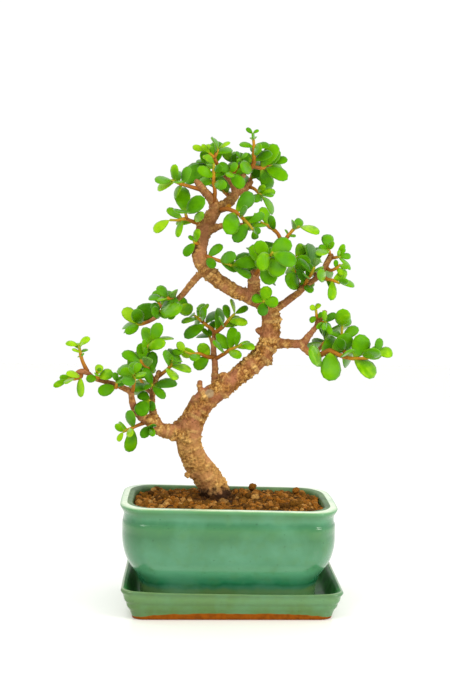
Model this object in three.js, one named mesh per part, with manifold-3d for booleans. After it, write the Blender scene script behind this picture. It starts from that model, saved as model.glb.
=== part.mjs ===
// Money tree bonsai: a small thick-stemmed tree with paired fleshy leaves, grown in a
// glazed rounded rectangular pot that stands in its own drip tray.
// Units are millimetres. +Z is up, the front looks towards -Y, and the origin is the
// middle of the tray's flat underside, on the surface that the tray stands on.

import * as THREE from 'three';
import { mergeVertices } from 'three/addons/utils/BufferGeometryUtils.js';
import Module from 'manifold-3d';

const wasm = await Module();
wasm.setup();

// Clearance between neighbouring pieces that touch on the real thing.
const GAP = 0.3;

// Edges shorter than this, left by joining and cutting, are closed up.
const SLIVER = 0.08;

// How many straight steps round off each corner of the tray, the pot and the soil.
const ARC_STEPS = 4;

// Tray: its corner, how far its rim tilts and turns up at the ends, then heights, half
// widths and half depths of its outside and of its inside down to the sunken floor.
const TRAY_HEIGHT = 18.4;
const TRAY_FLOOR = 6;
const TRAY_CORNER = 9;
const TRAY_CORNER_LIFT = 1.9;
const TRAY_TILT = 0.013;
const TRAY_OUTSIDE = [
  [0, 69.2, 51.6], [1.4, 70, 52.6], [3.4, 70.8, 52.9], [6.5, 72.2, 53.4], [10, 74, 54.4],
  [15, 75.8, 55.4], [17.4, 77.4, 56.4],
];
const TRAY_INSIDE = [[17.4, 73, 52.4], [12, 71.2, 51], [8.5, 69.8, 49.8], [TRAY_FLOOR, 67.4, 48]];

// Pot: heights and half widths from the foot up, over the waist, belly, groove and lip.
// A corner reaches further along a short side than along a long one.
const POT_DEPTH_LESS = 20;
const POT_FOOT = TRAY_FLOOR + GAP;
const POT_RIM = 76;
const POT_CENTRE = -2.2;
const POT_CORNER_DEPTH = 1.6;
const POT_RIM_DROP = 0.02;
const POT_END_BOW = 2.8;
const POT_HALF_WIDTH = 75;
const POT_HALF_DEPTH = 55;
const POT_OUTSIDE = [
  [POT_FOOT, 62.6], [17, 63.1], [21, 64.2], [25, 65.6], [28.4, 67.5], [35, 71.4], [41, 73.6],
  [50, 75.2], [60, 74.8], [64.2, 74.3], [65.4, 73.5], [70, 73.3], [72, 74.2], [74.4, 75.3],
  [POT_RIM, 74.6],
];
const POT_INSIDE = [[POT_RIM, 67], [72, 66.6], [50, 67.4], [35, 64.5], [14, 56]];
const POT_RECESS = 3.5;
const POT_FOOT_RING = 7;
const POT_FOOT_CORNER = 14;
const DRAIN_RADIUS = 6;
const DRAIN_SPACING = 52;

// Soil: the height at the wall, the mound round the trunk and the size of the grains.
const SOIL_EDGE = 72.2;
const SOIL_MOUND = 2.6;
const SOIL_GRAIN = 0.9;
const SOIL_RINGS = 6;
const SOIL_SIDE_STEPS = 3;

// Wood: how far the bark swells and sinks, as a share of the radius.
const BARK_RELIEF = 0.045;

// Leaves: the shape shared by every blade, as shares of its length and width.
const LEAF_ROUND = 1.3;
const LEAF_FOOT = 0.06;
const LEAF_ARCH = 0.07;
const LEAF_STATIONS = [0.28, 0.6, 0.86];
const SMALL_STATIONS = [0.4, 0.82];
const SMALL_LEAF = 19;
const LIGHT_ASIDE = 0.05;

// Green stems: their radius at the root, more on a long one, and at the tip.
const STEM_SIDES = 4;
const STEM_ROOT = 1.3;
const STEM_TAPER = 0.015;
const STEM_TIP = 0.8;

const CERAMIC = { colour: 0x5f9c76, roughness: 0.18 };
const TRAY_GLAZE = { colour: 0x7c9c6c, roughness: 0.25 };
const SOIL = { colour: 0x96662e, roughness: 0.95 };
const BARK = { colour: 0xa26c3e, roughness: 0.8 };
const DARK_LEAF = new THREE.Color(0x3f7a0a);
const YOUNG_LEAF = new THREE.Color(0xa6d424);
const BRIGHTEST_TONE = 9;

// Woody limbs: x, y, z and radius along each, from its root inside the limb below.
const WOOD = {
  trunk: [
    [-5, 14, 59, 8.8], [-11, 13, 78, 10.4], [-19, 10, 92, 9.6], [-28, 6, 106, 9.4],
    [-31, 2, 119, 9], [-28, -1, 132, 9], [-20, -3, 146, 8.4], [-3, -2, 159, 7], [14, 2, 172, 7],
    [25, 5, 185, 7.1], [28, 4, 202, 6.7], [25, 2, 215, 6.3], [13, -2, 221, 5.4], [-1, -5, 227, 5],
    [-14, -7, 236, 5.2], [-23, -6, 247, 5.5], [-23, -2, 259, 5], [-20, 2, 272, 5.8],
    [-11, 4, 286, 4.3],
  ],
  left_branch: [
    [-31, 0, 122, 7.2], [-39, -2, 123, 6.1], [-46, -5, 125, 5.4], [-52, -8, 127, 4.8],
    [-58, -11, 132, 4.1], [-64, -14, 136, 3.4], [-69, -16, 142, 2.8], [-71, -18, 148, 2.5],
    [-72, -19, 154, 2.3], [-77, -20, 157, 2.1], [-84, -21, 160, 1.9], [-91, -22, 162, 1.8],
    [-97, -23, 164, 1.6], [-102, -24, 168, 1.9], [-106, -25, 169, 2.1], [-110, -26, 168, 1.2],
  ],
  left_riser: [
    [-53, -9, 130, 3.9], [-56, -8, 137, 3], [-57, -7, 144, 2.3], [-57, -6, 152, 2.3],
    [-56, -5, 159, 2.1], [-54, -5, 163, 2], [-52, -5, 168, 1.8],
  ],
  upper_left_branch: [
    [-18, -6, 241, 3.2], [-25, -3, 236, 2.7], [-30, 1, 230, 2.3], [-35, 5, 224, 2.2],
    [-41, 9, 218, 1.9], [-48, 13, 212, 1.7], [-55, 16, 206, 1.5], [-60, 18, 203, 1.4],
  ],
  mid_riser: [
    [-11, -1, 153, 3.6], [-12, 4, 161, 2.7], [-12, 9, 171, 2.4], [-13, 13, 181, 2.2],
    [-13, 16, 191, 2],
  ],
  trunk_stub: [
    [-21, -4, 151, 2.9], [-23, -6, 157, 2.1], [-23, -7, 161, 2.2],
  ],
  right_upper_branch: [
    [26, 3, 211, 5.1], [32, 0, 214, 3.2], [37, -3, 217, 2.7], [42, -6, 221, 2.7],
    [47, -9, 225, 2.5], [51, -11, 229, 2.3], [56, -13, 233, 2.1], [60, -14, 236, 2],
    [64, -15, 241, 2], [67, -15, 247, 2.3], [70, -15, 252, 2.1],
  ],
  centre_stub: [
    [18, 0, 217, 5], [16, -3, 225, 4.7], [15, -6, 232, 4.5], [15, -8, 237, 3.4],
    [15, -9, 241, 1.8],
  ],
  centre_hidden: [
    [15, -6, 234, 1.8], [22, -4, 243, 1.6], [29, -4, 252, 1.4], [35, -6, 261, 1.3],
  ],
  right_lower_branch: [
    [26, 5, 187, 5.1], [33, 2, 188, 3.8], [40, -1, 188, 3.2], [47, -4, 188, 3.2],
    [51, -6, 189, 3.2], [54, -7, 193, 2.7], [57, -8, 197, 2.1], [60, -9, 201, 2],
    [62, -10, 206, 2.4], [65, -10, 209, 2.5], [66, -10, 212, 1.9],
  ],
  right_lower_twig: [
    [49, -5, 188, 2.9], [53, -8, 184, 2.3], [56, -10, 181, 2], [61, -12, 180, 1.6],
  ],
  side_branch: [
    [-21, 1, 268, 4], [-14, -2, 270, 2.7], [-9, -5, 272, 2.1], [-2, -8, 272, 1.8],
    [7, -11, 273, 1.6],
  ],
  left_arm: [
    [-12, 4, 284, 4.7], [-15, 1, 291, 3.6], [-19, -2, 295, 3.2], [-22, -5, 298, 2.9],
    [-25, -7, 302, 2.5], [-27, -8, 304, 1.8],
  ],
  right_arm: [
    [-10, 5, 285, 4.3], [-4, 8, 289, 3.8], [0, 11, 293, 3.6], [3, 14, 297, 3.2], [8, 17, 299, 2.7],
    [12, 20, 303, 2.4], [14, 22, 306, 2.1],
  ],
  crown_twig: [
    [2, 12, 296, 2.4], [-1, 6, 304, 2], [-6, 2, 309, 1.9], [-10, -1, 314, 1.8],
  ],
  crown_riser: [
    [5, 15, 298, 2.2], [6, 14, 306, 1.9], [10, 12, 313, 1.8],
  ],
};

// Old pruning knobs and swellings on the bark: x, y, z and radius.
const KNOBS = [
  [-6, -5, 164, 3.6], [26, 1, 176, 3.6], [-27, 5, 92, 3.4], [-39, 1, 129, 3.4], [20, 5, 197, 3.2],
  [-27, -1, 263, 2.8], [-31.6, 3, 91.7, 2.2],
];

// Leafy sprays, one for each side shoot, each of one or more twigs. A twig has the points
// of its stem from the root, then its leaf rule: how many leaves, the share of the stem
// where the first pair stands, that pair's turn round the stem and its spread from it in
// degrees, the length of the lowest and of the tip leaves, their width as a share of that
// length, and how many degrees above the horizon their upper sides look. The seed starts
// its draws, and the tone runs from 0, an old dark leaf, to 9, a young one.
const SPRAYS = {
  far_left_high: [
    {
      stem: [
        [-102, -24, 169], [-104, -25, 173], [-106, -25, 178], [-108, -24, 187],
      ],
      rule: [8, 0.6, 195, 85, 5, 10, 0.65, 30],
      seed: 141,
      tone: 7,
    },
  ],
  far_left_low: [
    {
      stem: [
        [-106, -25, 167], [-107, -27, 165], [-111, -29, 164], [-115, -30, 164],
      ],
      rule: [5, 0.2, 60, 45, 14, 12, 0.45, 30],
      seed: 65,
      tone: 7,
    },
  ],
  left_hump: [
    {
      stem: [
        [-94, -22, 163], [-95, -27, 166], [-95, -30, 170],
      ],
      rule: [5, 0.3, 255, 85, 10, 5, 0.8, 0],
      seed: 222,
      tone: 6,
    },
  ],
  left_mid: [
    {
      stem: [
        [-82, -20, 158], [-82, -24, 158], [-81, -28, 162],
      ],
      rule: [4, 0.3, 135, 75, 12, 7, 0.8, 10],
      seed: 715,
      tone: 4,
    },
  ],
  left_riser_low: [
    {
      stem: [
        [-71, -18, 154], [-70, -23, 157], [-69, -28, 163], [-69, -32, 168],
      ],
      rule: [6, 0.8, 155, 70, 11, 10, 0.75, 20],
      seed: 903,
      tone: 5,
    },
  ],
  left_tall: [
    {
      stem: [
        [-55, -5, 160], [-59, -8, 166], [-61, -10, 171], [-65, -11, 176], [-63, -10, 181],
        [-61, -9, 185], [-57, -8, 189],
      ],
      rule: [12, 0.2, 65, 50, 16, 16, 0.65, 40],
      seed: 934,
      tone: 5,
    },
  ],
  left_riser_side: [
    {
      stem: [
        [-57, -6, 155], [-57, -10, 157], [-57, -14, 159],
      ],
      rule: [5, 0.5, 300, 85, 19, 7, 0.65, 50],
      seed: 33,
      tone: 4,
    },
  ],
  left_stub_twig: [
    {
      stem: [
        [-53, -5, 164], [-48, -7, 168], [-44, -9, 172], [-43, -10, 176],
      ],
      rule: [7, 0.6, 65, 75, 19, 5, 0.75, 50],
      seed: 595,
      tone: 6,
    },
  ],
  left_lower_pair: [
    {
      stem: [
        [-57, -8, 146], [-58, -13, 147], [-59, -17, 148],
      ],
      rule: [3, 0.8, 145, 85, 10, 16, 0.85, 10],
      seed: 984,
      tone: 4,
    },
  ],
  left_low: [
    {
      stem: [
        [-61, -12, 132], [-67, -15, 130], [-72, -18, 128], [-77, -20, 126],
      ],
      rule: [6, 0.6, 45, 80, 18, 8, 0.65, 10],
      seed: 283,
      tone: 6,
    },
  ],
  left_low_leaf: [
    {
      stem: [
        [-56, -12, 131], [-58, -17, 130], [-58, -20, 129],
      ],
      rule: [3, 0.7, 150, 30, 13, 12, 0.55, 0],
      seed: 990,
      tone: 2,
    },
  ],
  upper_left_tip: [
    {
      stem: [
        [-60, 18, 203], [-65, 18, 201], [-70, 17, 200],
      ],
      rule: [5, 0.6, 350, 60, 17, 13, 0.65, 40],
      seed: 805,
      tone: 6,
    },
  ],
  upper_left_mid: [
    {
      stem: [
        [-54, 16, 207], [-53, 11, 208], [-52, 6, 211],
      ],
      rule: [5, 0.6, 245, 70, 11, 20, 0.8, 20],
      seed: 900,
      tone: 4,
    },
  ],
  upper_left_back: [
    {
      stem: [
        [-44, 11, 216], [-42, 16, 214], [-41, 20, 213],
      ],
      rule: [3, 0.9, 290, 75, 11, 13, 0.8, 10],
      seed: 387,
      tone: 4,
    },
  ],
  upper_left_top: [
    {
      stem: [
        [-40, 8, 219], [-43, 6, 220], [-48, 5, 220], [-51, 4, 220],
      ],
      rule: [5, 0.2, 325, 40, 11, 10, 0.8, 70],
      seed: 132,
      tone: 5,
    },
  ],
  trunk_left_leaf: [
    {
      stem: [
        [-24, -6, 259], [-27, -9, 260], [-28, -10, 261],
      ],
      rule: [3, 0.7, 60, 85, 11, 5, 0.65, 20],
      seed: 904,
      tone: 6,
    },
  ],
  trunk_right_twig: [
    {
      stem: [
        [-22, -7, 251], [-15, -10, 249], [-9, -12, 247], [-1, -13, 244],
      ],
      rule: [6, 0.2, 90, 40, 14, 17, 0.65, 30],
      seed: 797,
      tone: 4,
    },
  ],
  centre_rosette: [
    {
      stem: [
        [15, -8, 236], [19, -15, 242], [24, -23, 249], [27, -31, 253],
      ],
      rule: [9, 0.4, 70, 85, 16, 16, 0.8, 0],
      seed: 309,
      tone: 4,
    },
  ],
  fork_rosette: [
    {
      stem: [
        [25, -2, 214], [23, -10, 217], [22, -14, 219],
      ],
      rule: [5, 0.9, 275, 85, 10, 12, 0.8, 20],
      seed: 527,
      tone: 4,
    },
  ],
  centre_right_twig: [
    {
      stem: [
        [-9, -1, 284], [-3, -5, 284], [3, -9, 281], [7, -12, 277], [11, -14, 273], [14, -15, 269],
      ],
      rule: [8, 0.4, 270, 75, 23, 11, 0.6, 10],
      seed: 825,
      tone: 3,
    },
  ],
  right_inner: [
    {
      stem: [
        [48, -9, 226], [47, -5, 231], [46, -3, 240], [45, -3, 251],
      ],
      rule: [5, 0.1, 300, 75, 15, 13, 0.8, 0],
      seed: 629,
      tone: 5,
    },
  ],
  right_crown: [
    {
      stem: [
        [69, -15, 250], [68, -17, 254], [67, -18, 256],
      ],
      rule: [5, 0.9, 310, 75, 13, 4, 0.75, 10],
      seed: 184,
      tone: 6,
    },
    {
      stem: [
        [69, -15, 250], [72, -17, 250], [75, -19, 251],
      ],
      rule: [5, 0.8, 75, 55, 12, 6, 0.5, 10],
      seed: 419,
      tone: 6,
    },
  ],
  right_side_low: [
    {
      stem: [
        [66, -15, 243], [69, -19, 241], [73, -22, 243], [75, -24, 245],
      ],
      rule: [3, 0.7, 310, 65, 7, 10, 0.7, 10],
      seed: 775,
      tone: 6,
    },
  ],
  right_side_tail: [
    {
      stem: [
        [62, -14, 238], [66, -17, 235], [70, -19, 234], [75, -21, 232],
      ],
      rule: [6, 0.3, 10, 70, 15, 12, 0.65, 20],
      seed: 887,
      tone: 5,
    },
  ],
  right_inner_front: [
    {
      stem: [
        [51, -11, 228], [52, -17, 233], [55, -20, 238], [57, -22, 243],
      ],
      rule: [7, 0.2, 190, 70, 12, 13, 0.55, 70],
      seed: 749,
      tone: 3,
    },
  ],
  right_low_top: [
    {
      stem: [
        [63, -10, 206], [60, -14, 208], [59, -15, 213],
      ],
      rule: [4, 0.5, 35, 85, 6, 6, 0.8, 10],
      seed: 650,
      tone: 6,
    },
  ],
  right_low_side: [
    {
      stem: [
        [63, -10, 204], [64, -14, 204], [66, -17, 204],
      ],
      rule: [5, 0.7, 250, 80, 11, 14, 0.5, 30],
      seed: 157,
      tone: 5,
    },
  ],
  right_low_far: [
    {
      stem: [
        [59, -11, 180], [63, -14, 181], [69, -16, 184], [76, -18, 181], [83, -20, 179],
        [91, -22, 179], [97, -24, 180], [101, -25, 183],
      ],
      rule: [12, 0.1, 355, 70, 24, 13, 0.8, 0],
      seed: 317,
      tone: 5,
    },
    {
      stem: [
        [80, -19, 180], [79, -15, 187], [78, -13, 194], [78, -13, 201],
      ],
      rule: [6, 0.2, 165, 65, 11, 15, 0.7, 0],
      seed: 533,
      tone: 4,
    },
  ],
  mid_right: [
    {
      stem: [
        [-13, 11, 175], [-7, 8, 179], [-1, 5, 183], [7, 2, 187],
      ],
      rule: [7, 0.4, 160, 75, 17, 12, 0.5, 20],
      seed: 482,
      tone: 5,
    },
  ],
  mid_left: [
    {
      stem: [
        [-12, 11, 177], [-18, 7, 178], [-23, 4, 180], [-29, 1, 180], [-34, -1, 182],
      ],
      rule: [6, 0.2, 70, 50, 15, 11, 0.7, 0],
      seed: 515,
      tone: 6,
    },
  ],
  top_left_twig: [
    {
      stem: [
        [-24, -6, 298], [-32, -9, 300], [-39, -11, 302], [-44, -12, 304],
      ],
      rule: [7, 0.6, 10, 80, 14, 14, 0.65, 50],
      seed: 802,
      tone: 6,
    },
  ],
  left_pair_twig: [
    {
      stem: [
        [-21, 2, 274], [-28, -3, 275], [-34, -5, 277], [-39, -6, 276], [-45, -7, 276],
      ],
      rule: [5, 0.3, 35, 70, 15, 18, 0.5, 0],
      seed: 439,
      tone: 6,
    },
    {
      stem: [
        [-33, -5, 277], [-34, -7, 281],
      ],
      rule: [3, 0.9, 335, 70, 21, 18, 0.6, 20],
      seed: 508,
      tone: 5,
    },
  ],
  crown_dark_twig: [
    {
      stem: [
        [-14, 0, 289], [-13, -3, 296], [-14, -5, 303], [-14, -7, 310], [-14, -8, 316],
      ],
      rule: [7, 0.5, 35, 85, 14, 9, 0.65, 0],
      seed: 555,
      tone: 4,
    },
  ],
  crown_left_tip: [
    {
      stem: [
        [-10, -1, 313], [-14, -3, 321], [-17, -3, 324], [-19, -3, 326],
      ],
      rule: [5, 0.6, 70, 40, 8, 10, 0.55, 0],
      seed: 852,
      tone: 7,
    },
    {
      stem: [
        [-14, -3, 320], [-11, -2, 327],
      ],
      rule: [4, 0.5, 330, 65, 18, 12, 0.45, 40],
      seed: 902,
      tone: 6,
    },
  ],
  crown_mid: [
    {
      stem: [
        [-4, 3, 307], [-3, -3, 309], [-2, -7, 310],
      ],
      rule: [4, 0.8, 345, 80, 13, 10, 0.8, 20],
      seed: 579,
      tone: 4,
    },
  ],
  crown_high: [
    {
      stem: [
        [10, 12, 311], [15, 9, 318], [15, 7, 324], [15, 6, 330], [14, 5, 339],
      ],
      rule: [12, 0.2, 180, 90, 20, 6, 0.65, 0],
      seed: 341,
      tone: 4,
    },
    {
      stem: [
        [14, 10, 316], [20, 13, 315], [25, 15, 316], [29, 16, 319],
      ],
      rule: [8, 0.4, 325, 55, 22, 11, 0.6, 10],
      seed: 841,
      tone: 5,
    },
    {
      stem: [
        [25, 15, 316], [27, 19, 327],
      ],
      rule: [1, 0.6, 335, 75, 8, 7, 0.8, 60],
      seed: 193,
      tone: 7,
    },
  ],
  right_arm_tip: [
    {
      stem: [
        [11, 19, 302], [16, 16, 300], [21, 13, 295],
      ],
      rule: [6, 0.7, 350, 60, 10, 15, 0.55, 30],
      seed: 701,
      tone: 5,
    },
  ],
  mid_top: [
    {
      stem: [
        [-13, 15, 189], [-13, 18, 196], [-18, 19, 200], [-23, 21, 204], [-27, 22, 207],
      ],
      rule: [7, 0.6, 285, 85, 17, 11, 0.6, 10],
      seed: 264,
      tone: 5,
    },
    {
      stem: [
        [-21, 20, 202], [-21, 20, 210],
      ],
      rule: [4, 0.8, 160, 70, 5, 7, 0.55, 10],
      seed: 876,
      tone: 5,
    },
    {
      stem: [
        [-13, 17, 194], [-9, 14, 197], [-5, 12, 201], [-1, 10, 206], [2, 9, 209],
      ],
      rule: [8, 0.1, 270, 70, 20, 12, 0.5, 40],
      seed: 859,
      tone: 6,
    },
  ],
  centre_top: [
    {
      stem: [
        [35, -7, 260], [39, -9, 265], [43, -10, 270], [47, -11, 272],
      ],
      rule: [5, 0.4, 280, 65, 7, 16, 0.65, 40],
      seed: 615,
      tone: 6,
    },
    {
      stem: [
        [35, -6, 260], [32, -5, 267], [26, -4, 272], [20, -4, 275],
      ],
      rule: [5, 0.5, 155, 55, 15, 11, 0.55, 40],
      seed: 714,
      tone: 5,
    },
  ],
  left_back: [
    {
      stem: [
        [-57, -6, 152], [-62, 2, 155], [-66, 11, 160], [-68, 18, 163],
      ],
      rule: [6, 0.8, 190, 55, 20, 13, 0.8, 60],
      seed: 84,
      tone: 4,
    },
  ],
  upper_left_rear: [
    {
      stem: [
        [-48, 13, 212], [-52, 20, 214], [-55, 28, 218],
      ],
      rule: [6, 0.4, 95, 70, 18, 5, 0.8, 10],
      seed: 576,
      tone: 4,
    },
  ],
  mid_back: [
    {
      stem: [
        [-13, 13, 181], [-14, 21, 186], [-16, 28, 192],
      ],
      rule: [6, 0.9, 35, 45, 12, 4, 0.6, 40],
      seed: 718,
      tone: 4,
    },
  ],
  centre_back: [
    {
      stem: [
        [15, -6, 232], [19, 6, 240], [22, 16, 248],
      ],
      rule: [6, 0.4, 285, 75, 19, 18, 0.8, 30],
      seed: 588,
      tone: 3,
    },
  ],
  right_back: [
    {
      stem: [
        [60, -14, 236], [58, -4, 240], [57, 6, 246], [56, 13, 250],
      ],
      rule: [7, 0.4, 325, 55, 20, 14, 0.8, 60],
      seed: 193,
      tone: 4,
    },
  ],
  right_low_back: [
    {
      stem: [
        [58, -11, 181], [62, -2, 183], [66, 7, 187], [70, 14, 190],
      ],
      rule: [7, 0.8, 40, 85, 21, 18, 0.7, 70],
      seed: 770,
      tone: 4,
    },
  ],
  crown_back: [
    {
      stem: [
        [0, 11, 293], [-6, 20, 298], [-10, 28, 304],
      ],
      rule: [7, 0.3, 350, 30, 17, 16, 0.65, 30],
      seed: 547,
      tone: 3,
    },
  ],
  crown_back_right: [
    {
      stem: [
        [12, 20, 303], [14, 28, 309], [16, 34, 316],
      ],
      rule: [6, 0.4, 25, 65, 21, 15, 0.65, 10],
      seed: 756,
      tone: 4,
    },
  ],
  crown_behind_left: [
    {
      stem: [
        [-6, 3, 309], [-12, 7, 313], [-17, 10, 317], [-20, 12, 320],
      ],
      rule: [7, 0.6, 75, 70, 21, 4, 0.8, 30],
      seed: 761,
      tone: 4,
    },
  ],
  crown_behind_mid: [
    {
      stem: [
        [6, 14, 306], [3, 16, 313], [1, 18, 319],
      ],
      rule: [6, 0.2, 300, 40, 15, 10, 0.75, 10],
      seed: 814,
      tone: 3,
    },
  ],
  crown_inner: [
    {
      stem: [
        [-2, 7, 303], [0, 4, 309], [3, 2, 315], [5, 1, 320],
      ],
      rule: [6, 0.5, 270, 60, 8, 7, 0.75, 20],
      seed: 529,
      tone: 4,
    },
  ],
};

// One seeded draw after another, each between -1 and 1.
function drawer(seed) {
  let state = seed * 7919 + 11;
  return () => {
    state = (state * 16807) % 2147483647;
    return (state / 2147483647) * 2 - 1;
  };
}

// A closed skin over rings of equal count, which turn anticlockwise seen from the end.
// Each end closes on its apex, or on the middle of its ring.
function loft(rings, startApex, endApex) {
  const sides = rings[0].length;
  const points = rings.flat();
  const faces = [];
  for (let ring = 0; ring < rings.length - 1; ring++) {
    for (let i = 0; i < sides; i++) {
      const a = ring * sides + i;
      const b = ring * sides + (i + 1) % sides;
      faces.push(a, b, b + sides, a, b + sides, a + sides);
    }
  }
  const start = points.push(startApex ?? middle(rings[0])) - 1;
  const end = points.push(endApex ?? middle(rings.at(-1))) - 1;
  const last = (rings.length - 1) * sides;
  for (let i = 0; i < sides; i++) {
    const j = (i + 1) % sides;
    faces.push(start, j, i, end, last + i, last + j);
  }
  const geometry = new THREE.BufferGeometry().setFromPoints(points);
  geometry.setIndex(faces);
  return geometry;
}

function middle(ring) {
  const sum = new THREE.Vector3();
  ring.forEach((point) => sum.add(point));
  return sum.divideScalar(ring.length);
}

function solid(geometry) {
  const bare = geometry.clone();
  bare.deleteAttribute('normal');
  bare.deleteAttribute('uv');
  const merged = mergeVertices(bare, 1e-4);
  return new wasm.Manifold(new wasm.Mesh({
    numProp: 3,
    vertProperties: new Float32Array(merged.attributes.position.array),
    triVerts: new Uint32Array(merged.index.array),
  }));
}

function join(solids) {
  return solids.reduce((all, next) => all.add(next));
}

// Slivers are closed up, and only the largest body stays, without loose scraps.
function cleaned(form) {
  const bodies = form.simplify(SLIVER).decompose();
  return bodies.reduce((a, b) => (a.volume() > b.volume() ? a : b));
}

function boxesMeet(a, b) {
  const p = a.boundingBox();
  const q = b.boundingBox();
  return [0, 1, 2].every((k) => p.min[k] < q.max[k] && q.min[k] < p.max[k]);
}

function toGeometry(form) {
  const mesh = form.getMesh();
  const geometry = new THREE.BufferGeometry();
  geometry.setAttribute('position', new THREE.BufferAttribute(mesh.vertProperties, 3));
  geometry.setIndex(new THREE.BufferAttribute(mesh.triVerts, 1));
  return geometry;
}

// A rounded rectangle at one height, anticlockwise seen from above. Its corners are
// quarters of an ellipse, and a surface with relief has more points on each side.
function roundedOutline(halfWidth, halfDepth, corner, reach, z, sideSteps = 0) {
  const corners = [[1, 1], [-1, 1], [-1, -1], [1, -1]].map(([sideX, sideY], quarter) => {
    const arc = [];
    for (let step = 0; step <= ARC_STEPS; step++) {
      const angle = (quarter + step / ARC_STEPS) * Math.PI / 2;
      arc.push(new THREE.Vector3(
        sideX * (halfWidth - corner) + corner * Math.cos(angle),
        sideY * (halfDepth - reach) + reach * Math.sin(angle),
        z,
      ));
    }
    return arc;
  });
  return corners.flatMap((arc, quarter) => {
    const next = corners[(quarter + 1) % 4][0];
    const side = [];
    for (let step = 1; step <= sideSteps; step++) {
      side.push(arc.at(-1).clone().lerp(next, step / (sideSteps + 1)));
    }
    return [...arc, ...side];
  });
}

// An outline of the pot, or of what fills it.
function potOutline(half, corner, z, sideSteps = 0) {
  return roundedOutline(half, half - POT_DEPTH_LESS, corner, corner * POT_CORNER_DEPTH, z, sideSteps);
}

function dripTray() {
  const ringOf = ([z, halfWidth, halfDepth]) => {
    return roundedOutline(halfWidth, halfDepth, TRAY_CORNER, TRAY_CORNER, z);
  };
  const [, outerWidth, outerDepth] = TRAY_OUTSIDE.at(-1);
  const [, innerWidth, innerDepth] = TRAY_INSIDE[0];
  const topOfRim = [TRAY_HEIGHT, (outerWidth + innerWidth) / 2 + 0.6, (outerDepth + innerDepth) / 2 + 0.6];
  const rings = [...TRAY_OUTSIDE, topOfRim, ...TRAY_INSIDE].map(ringOf);
  rings.flat().forEach((point) => {
    const share = Math.max(0, point.z - TRAY_FLOOR) / (TRAY_HEIGHT - TRAY_FLOOR);
    const lift = TRAY_CORNER_LIFT * (point.x / outerWidth) ** 4 - TRAY_TILT * point.x;
    point.z += share * lift;
  });
  return solid(loft(rings));
}

// The hand-made pot stands a little to the left, its mouth drops to the right, and the
// short ends of its mouth bow out.
function placeInPot(point) {
  const rise = point.z - POT_FOOT;
  const bow = POT_END_BOW * (rise / POT_RIM) ** 4 * (1 - (point.y / POT_HALF_DEPTH) ** 2);
  point.z -= POT_RIM_DROP * point.x * rise / POT_RIM;
  point.x += POT_CENTRE + bow * Math.sign(point.x) * (point.x / POT_HALF_WIDTH) ** 2;
}

function potCorner(z) {
  return z > 62 ? 16 : 20;
}

function pot() {
  const rings = [...POT_OUTSIDE, ...POT_INSIDE].map(([z, half]) => potOutline(half, potCorner(z), z));
  rings.flat().forEach(placeInPot);
  const foot = POT_OUTSIDE[0][1] - POT_FOOT_RING;
  let body = solid(loft(rings));
  const recess = [POT_FOOT - 1, POT_FOOT + POT_RECESS].map((z) => potOutline(foot, POT_FOOT_CORNER, z));
  body = body.subtract(solid(loft(recess)).translate([POT_CENTRE, 0, 0]));
  for (const side of [-1, 1]) {
    const hole = new THREE.CylinderGeometry(DRAIN_RADIUS, DRAIN_RADIUS, 20, 16);
    hole.rotateX(Math.PI / 2);
    hole.translate(POT_CENTRE + side * DRAIN_SPACING / 2, 0, POT_FOOT + 5);
    body = body.subtract(solid(hole));
  }
  return body;
}

// The soil fills the pot's inside a gap away from its wall, under a mound of loose grains.
function soil() {
  const draw = drawer(7);
  const ringOf = ([z, half]) => potOutline(half - GAP, potCorner(z) - GAP, z, SOIL_SIDE_STEPS);
  const floor = POT_INSIDE.at(-1)[0] + GAP;
  const below = POT_INSIDE.filter(([z]) => z < SOIL_EDGE && z > floor).reverse();
  const rings = [[floor, POT_INSIDE.at(-1)[1]], ...below, [SOIL_EDGE, POT_INSIDE[1][1]]].map(ringOf);
  const edge = rings.at(-1);
  for (let ring = 1; ring <= SOIL_RINGS; ring++) {
    const share = 1 - ring / (SOIL_RINGS + 1);
    rings.push(edge.map((point) => new THREE.Vector3(
      point.x * share + SOIL_GRAIN * share * draw(),
      point.y * share + SOIL_GRAIN * share * draw(),
      SOIL_EDGE + SOIL_MOUND * (1 - share ** 2) + SOIL_GRAIN * draw(),
    )));
  }
  rings.flat().forEach(placeInPot);
  return solid(loft(rings));
}

// Across each point of a route: two directions at right angles to it, untwisted.
function framesAlong(points) {
  let across = new THREE.Vector3(0.94, 0.3, 0.16);
  return points.map((point, i) => {
    const before = points[Math.max(i - 1, 0)];
    const after = points[Math.min(i + 1, points.length - 1)];
    const ahead = after.clone().sub(before).normalize();
    across = across.clone().addScaledVector(ahead, -across.dot(ahead)).normalize();
    return { point, ahead, across, aside: ahead.clone().cross(across) };
  });
}

// A round limb with its own radius at each point, grown by a clearance where one is given.
function limb(points, radii, sides, grow = 0, relief = () => 0) {
  const frames = framesAlong(points);
  const rings = frames.map(({ point, across, aside }, i) => {
    const ring = [];
    for (let side = 0; side < sides; side++) {
      const angle = side / sides * Math.PI * 2;
      const radius = radii[i] * (1 + relief()) + grow;
      ring.push(point.clone()
        .addScaledVector(across, radius * Math.cos(angle))
        .addScaledVector(aside, radius * Math.sin(angle)));
    }
    return ring;
  });
  const first = frames[0];
  const last = frames.at(-1);
  const start = first.point.clone().addScaledVector(first.ahead, -0.4 * radii[0] - grow);
  const end = last.point.clone().addScaledVector(last.ahead, 0.5 * radii.at(-1) + grow);
  return solid(loft(rings, start, end));
}

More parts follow.
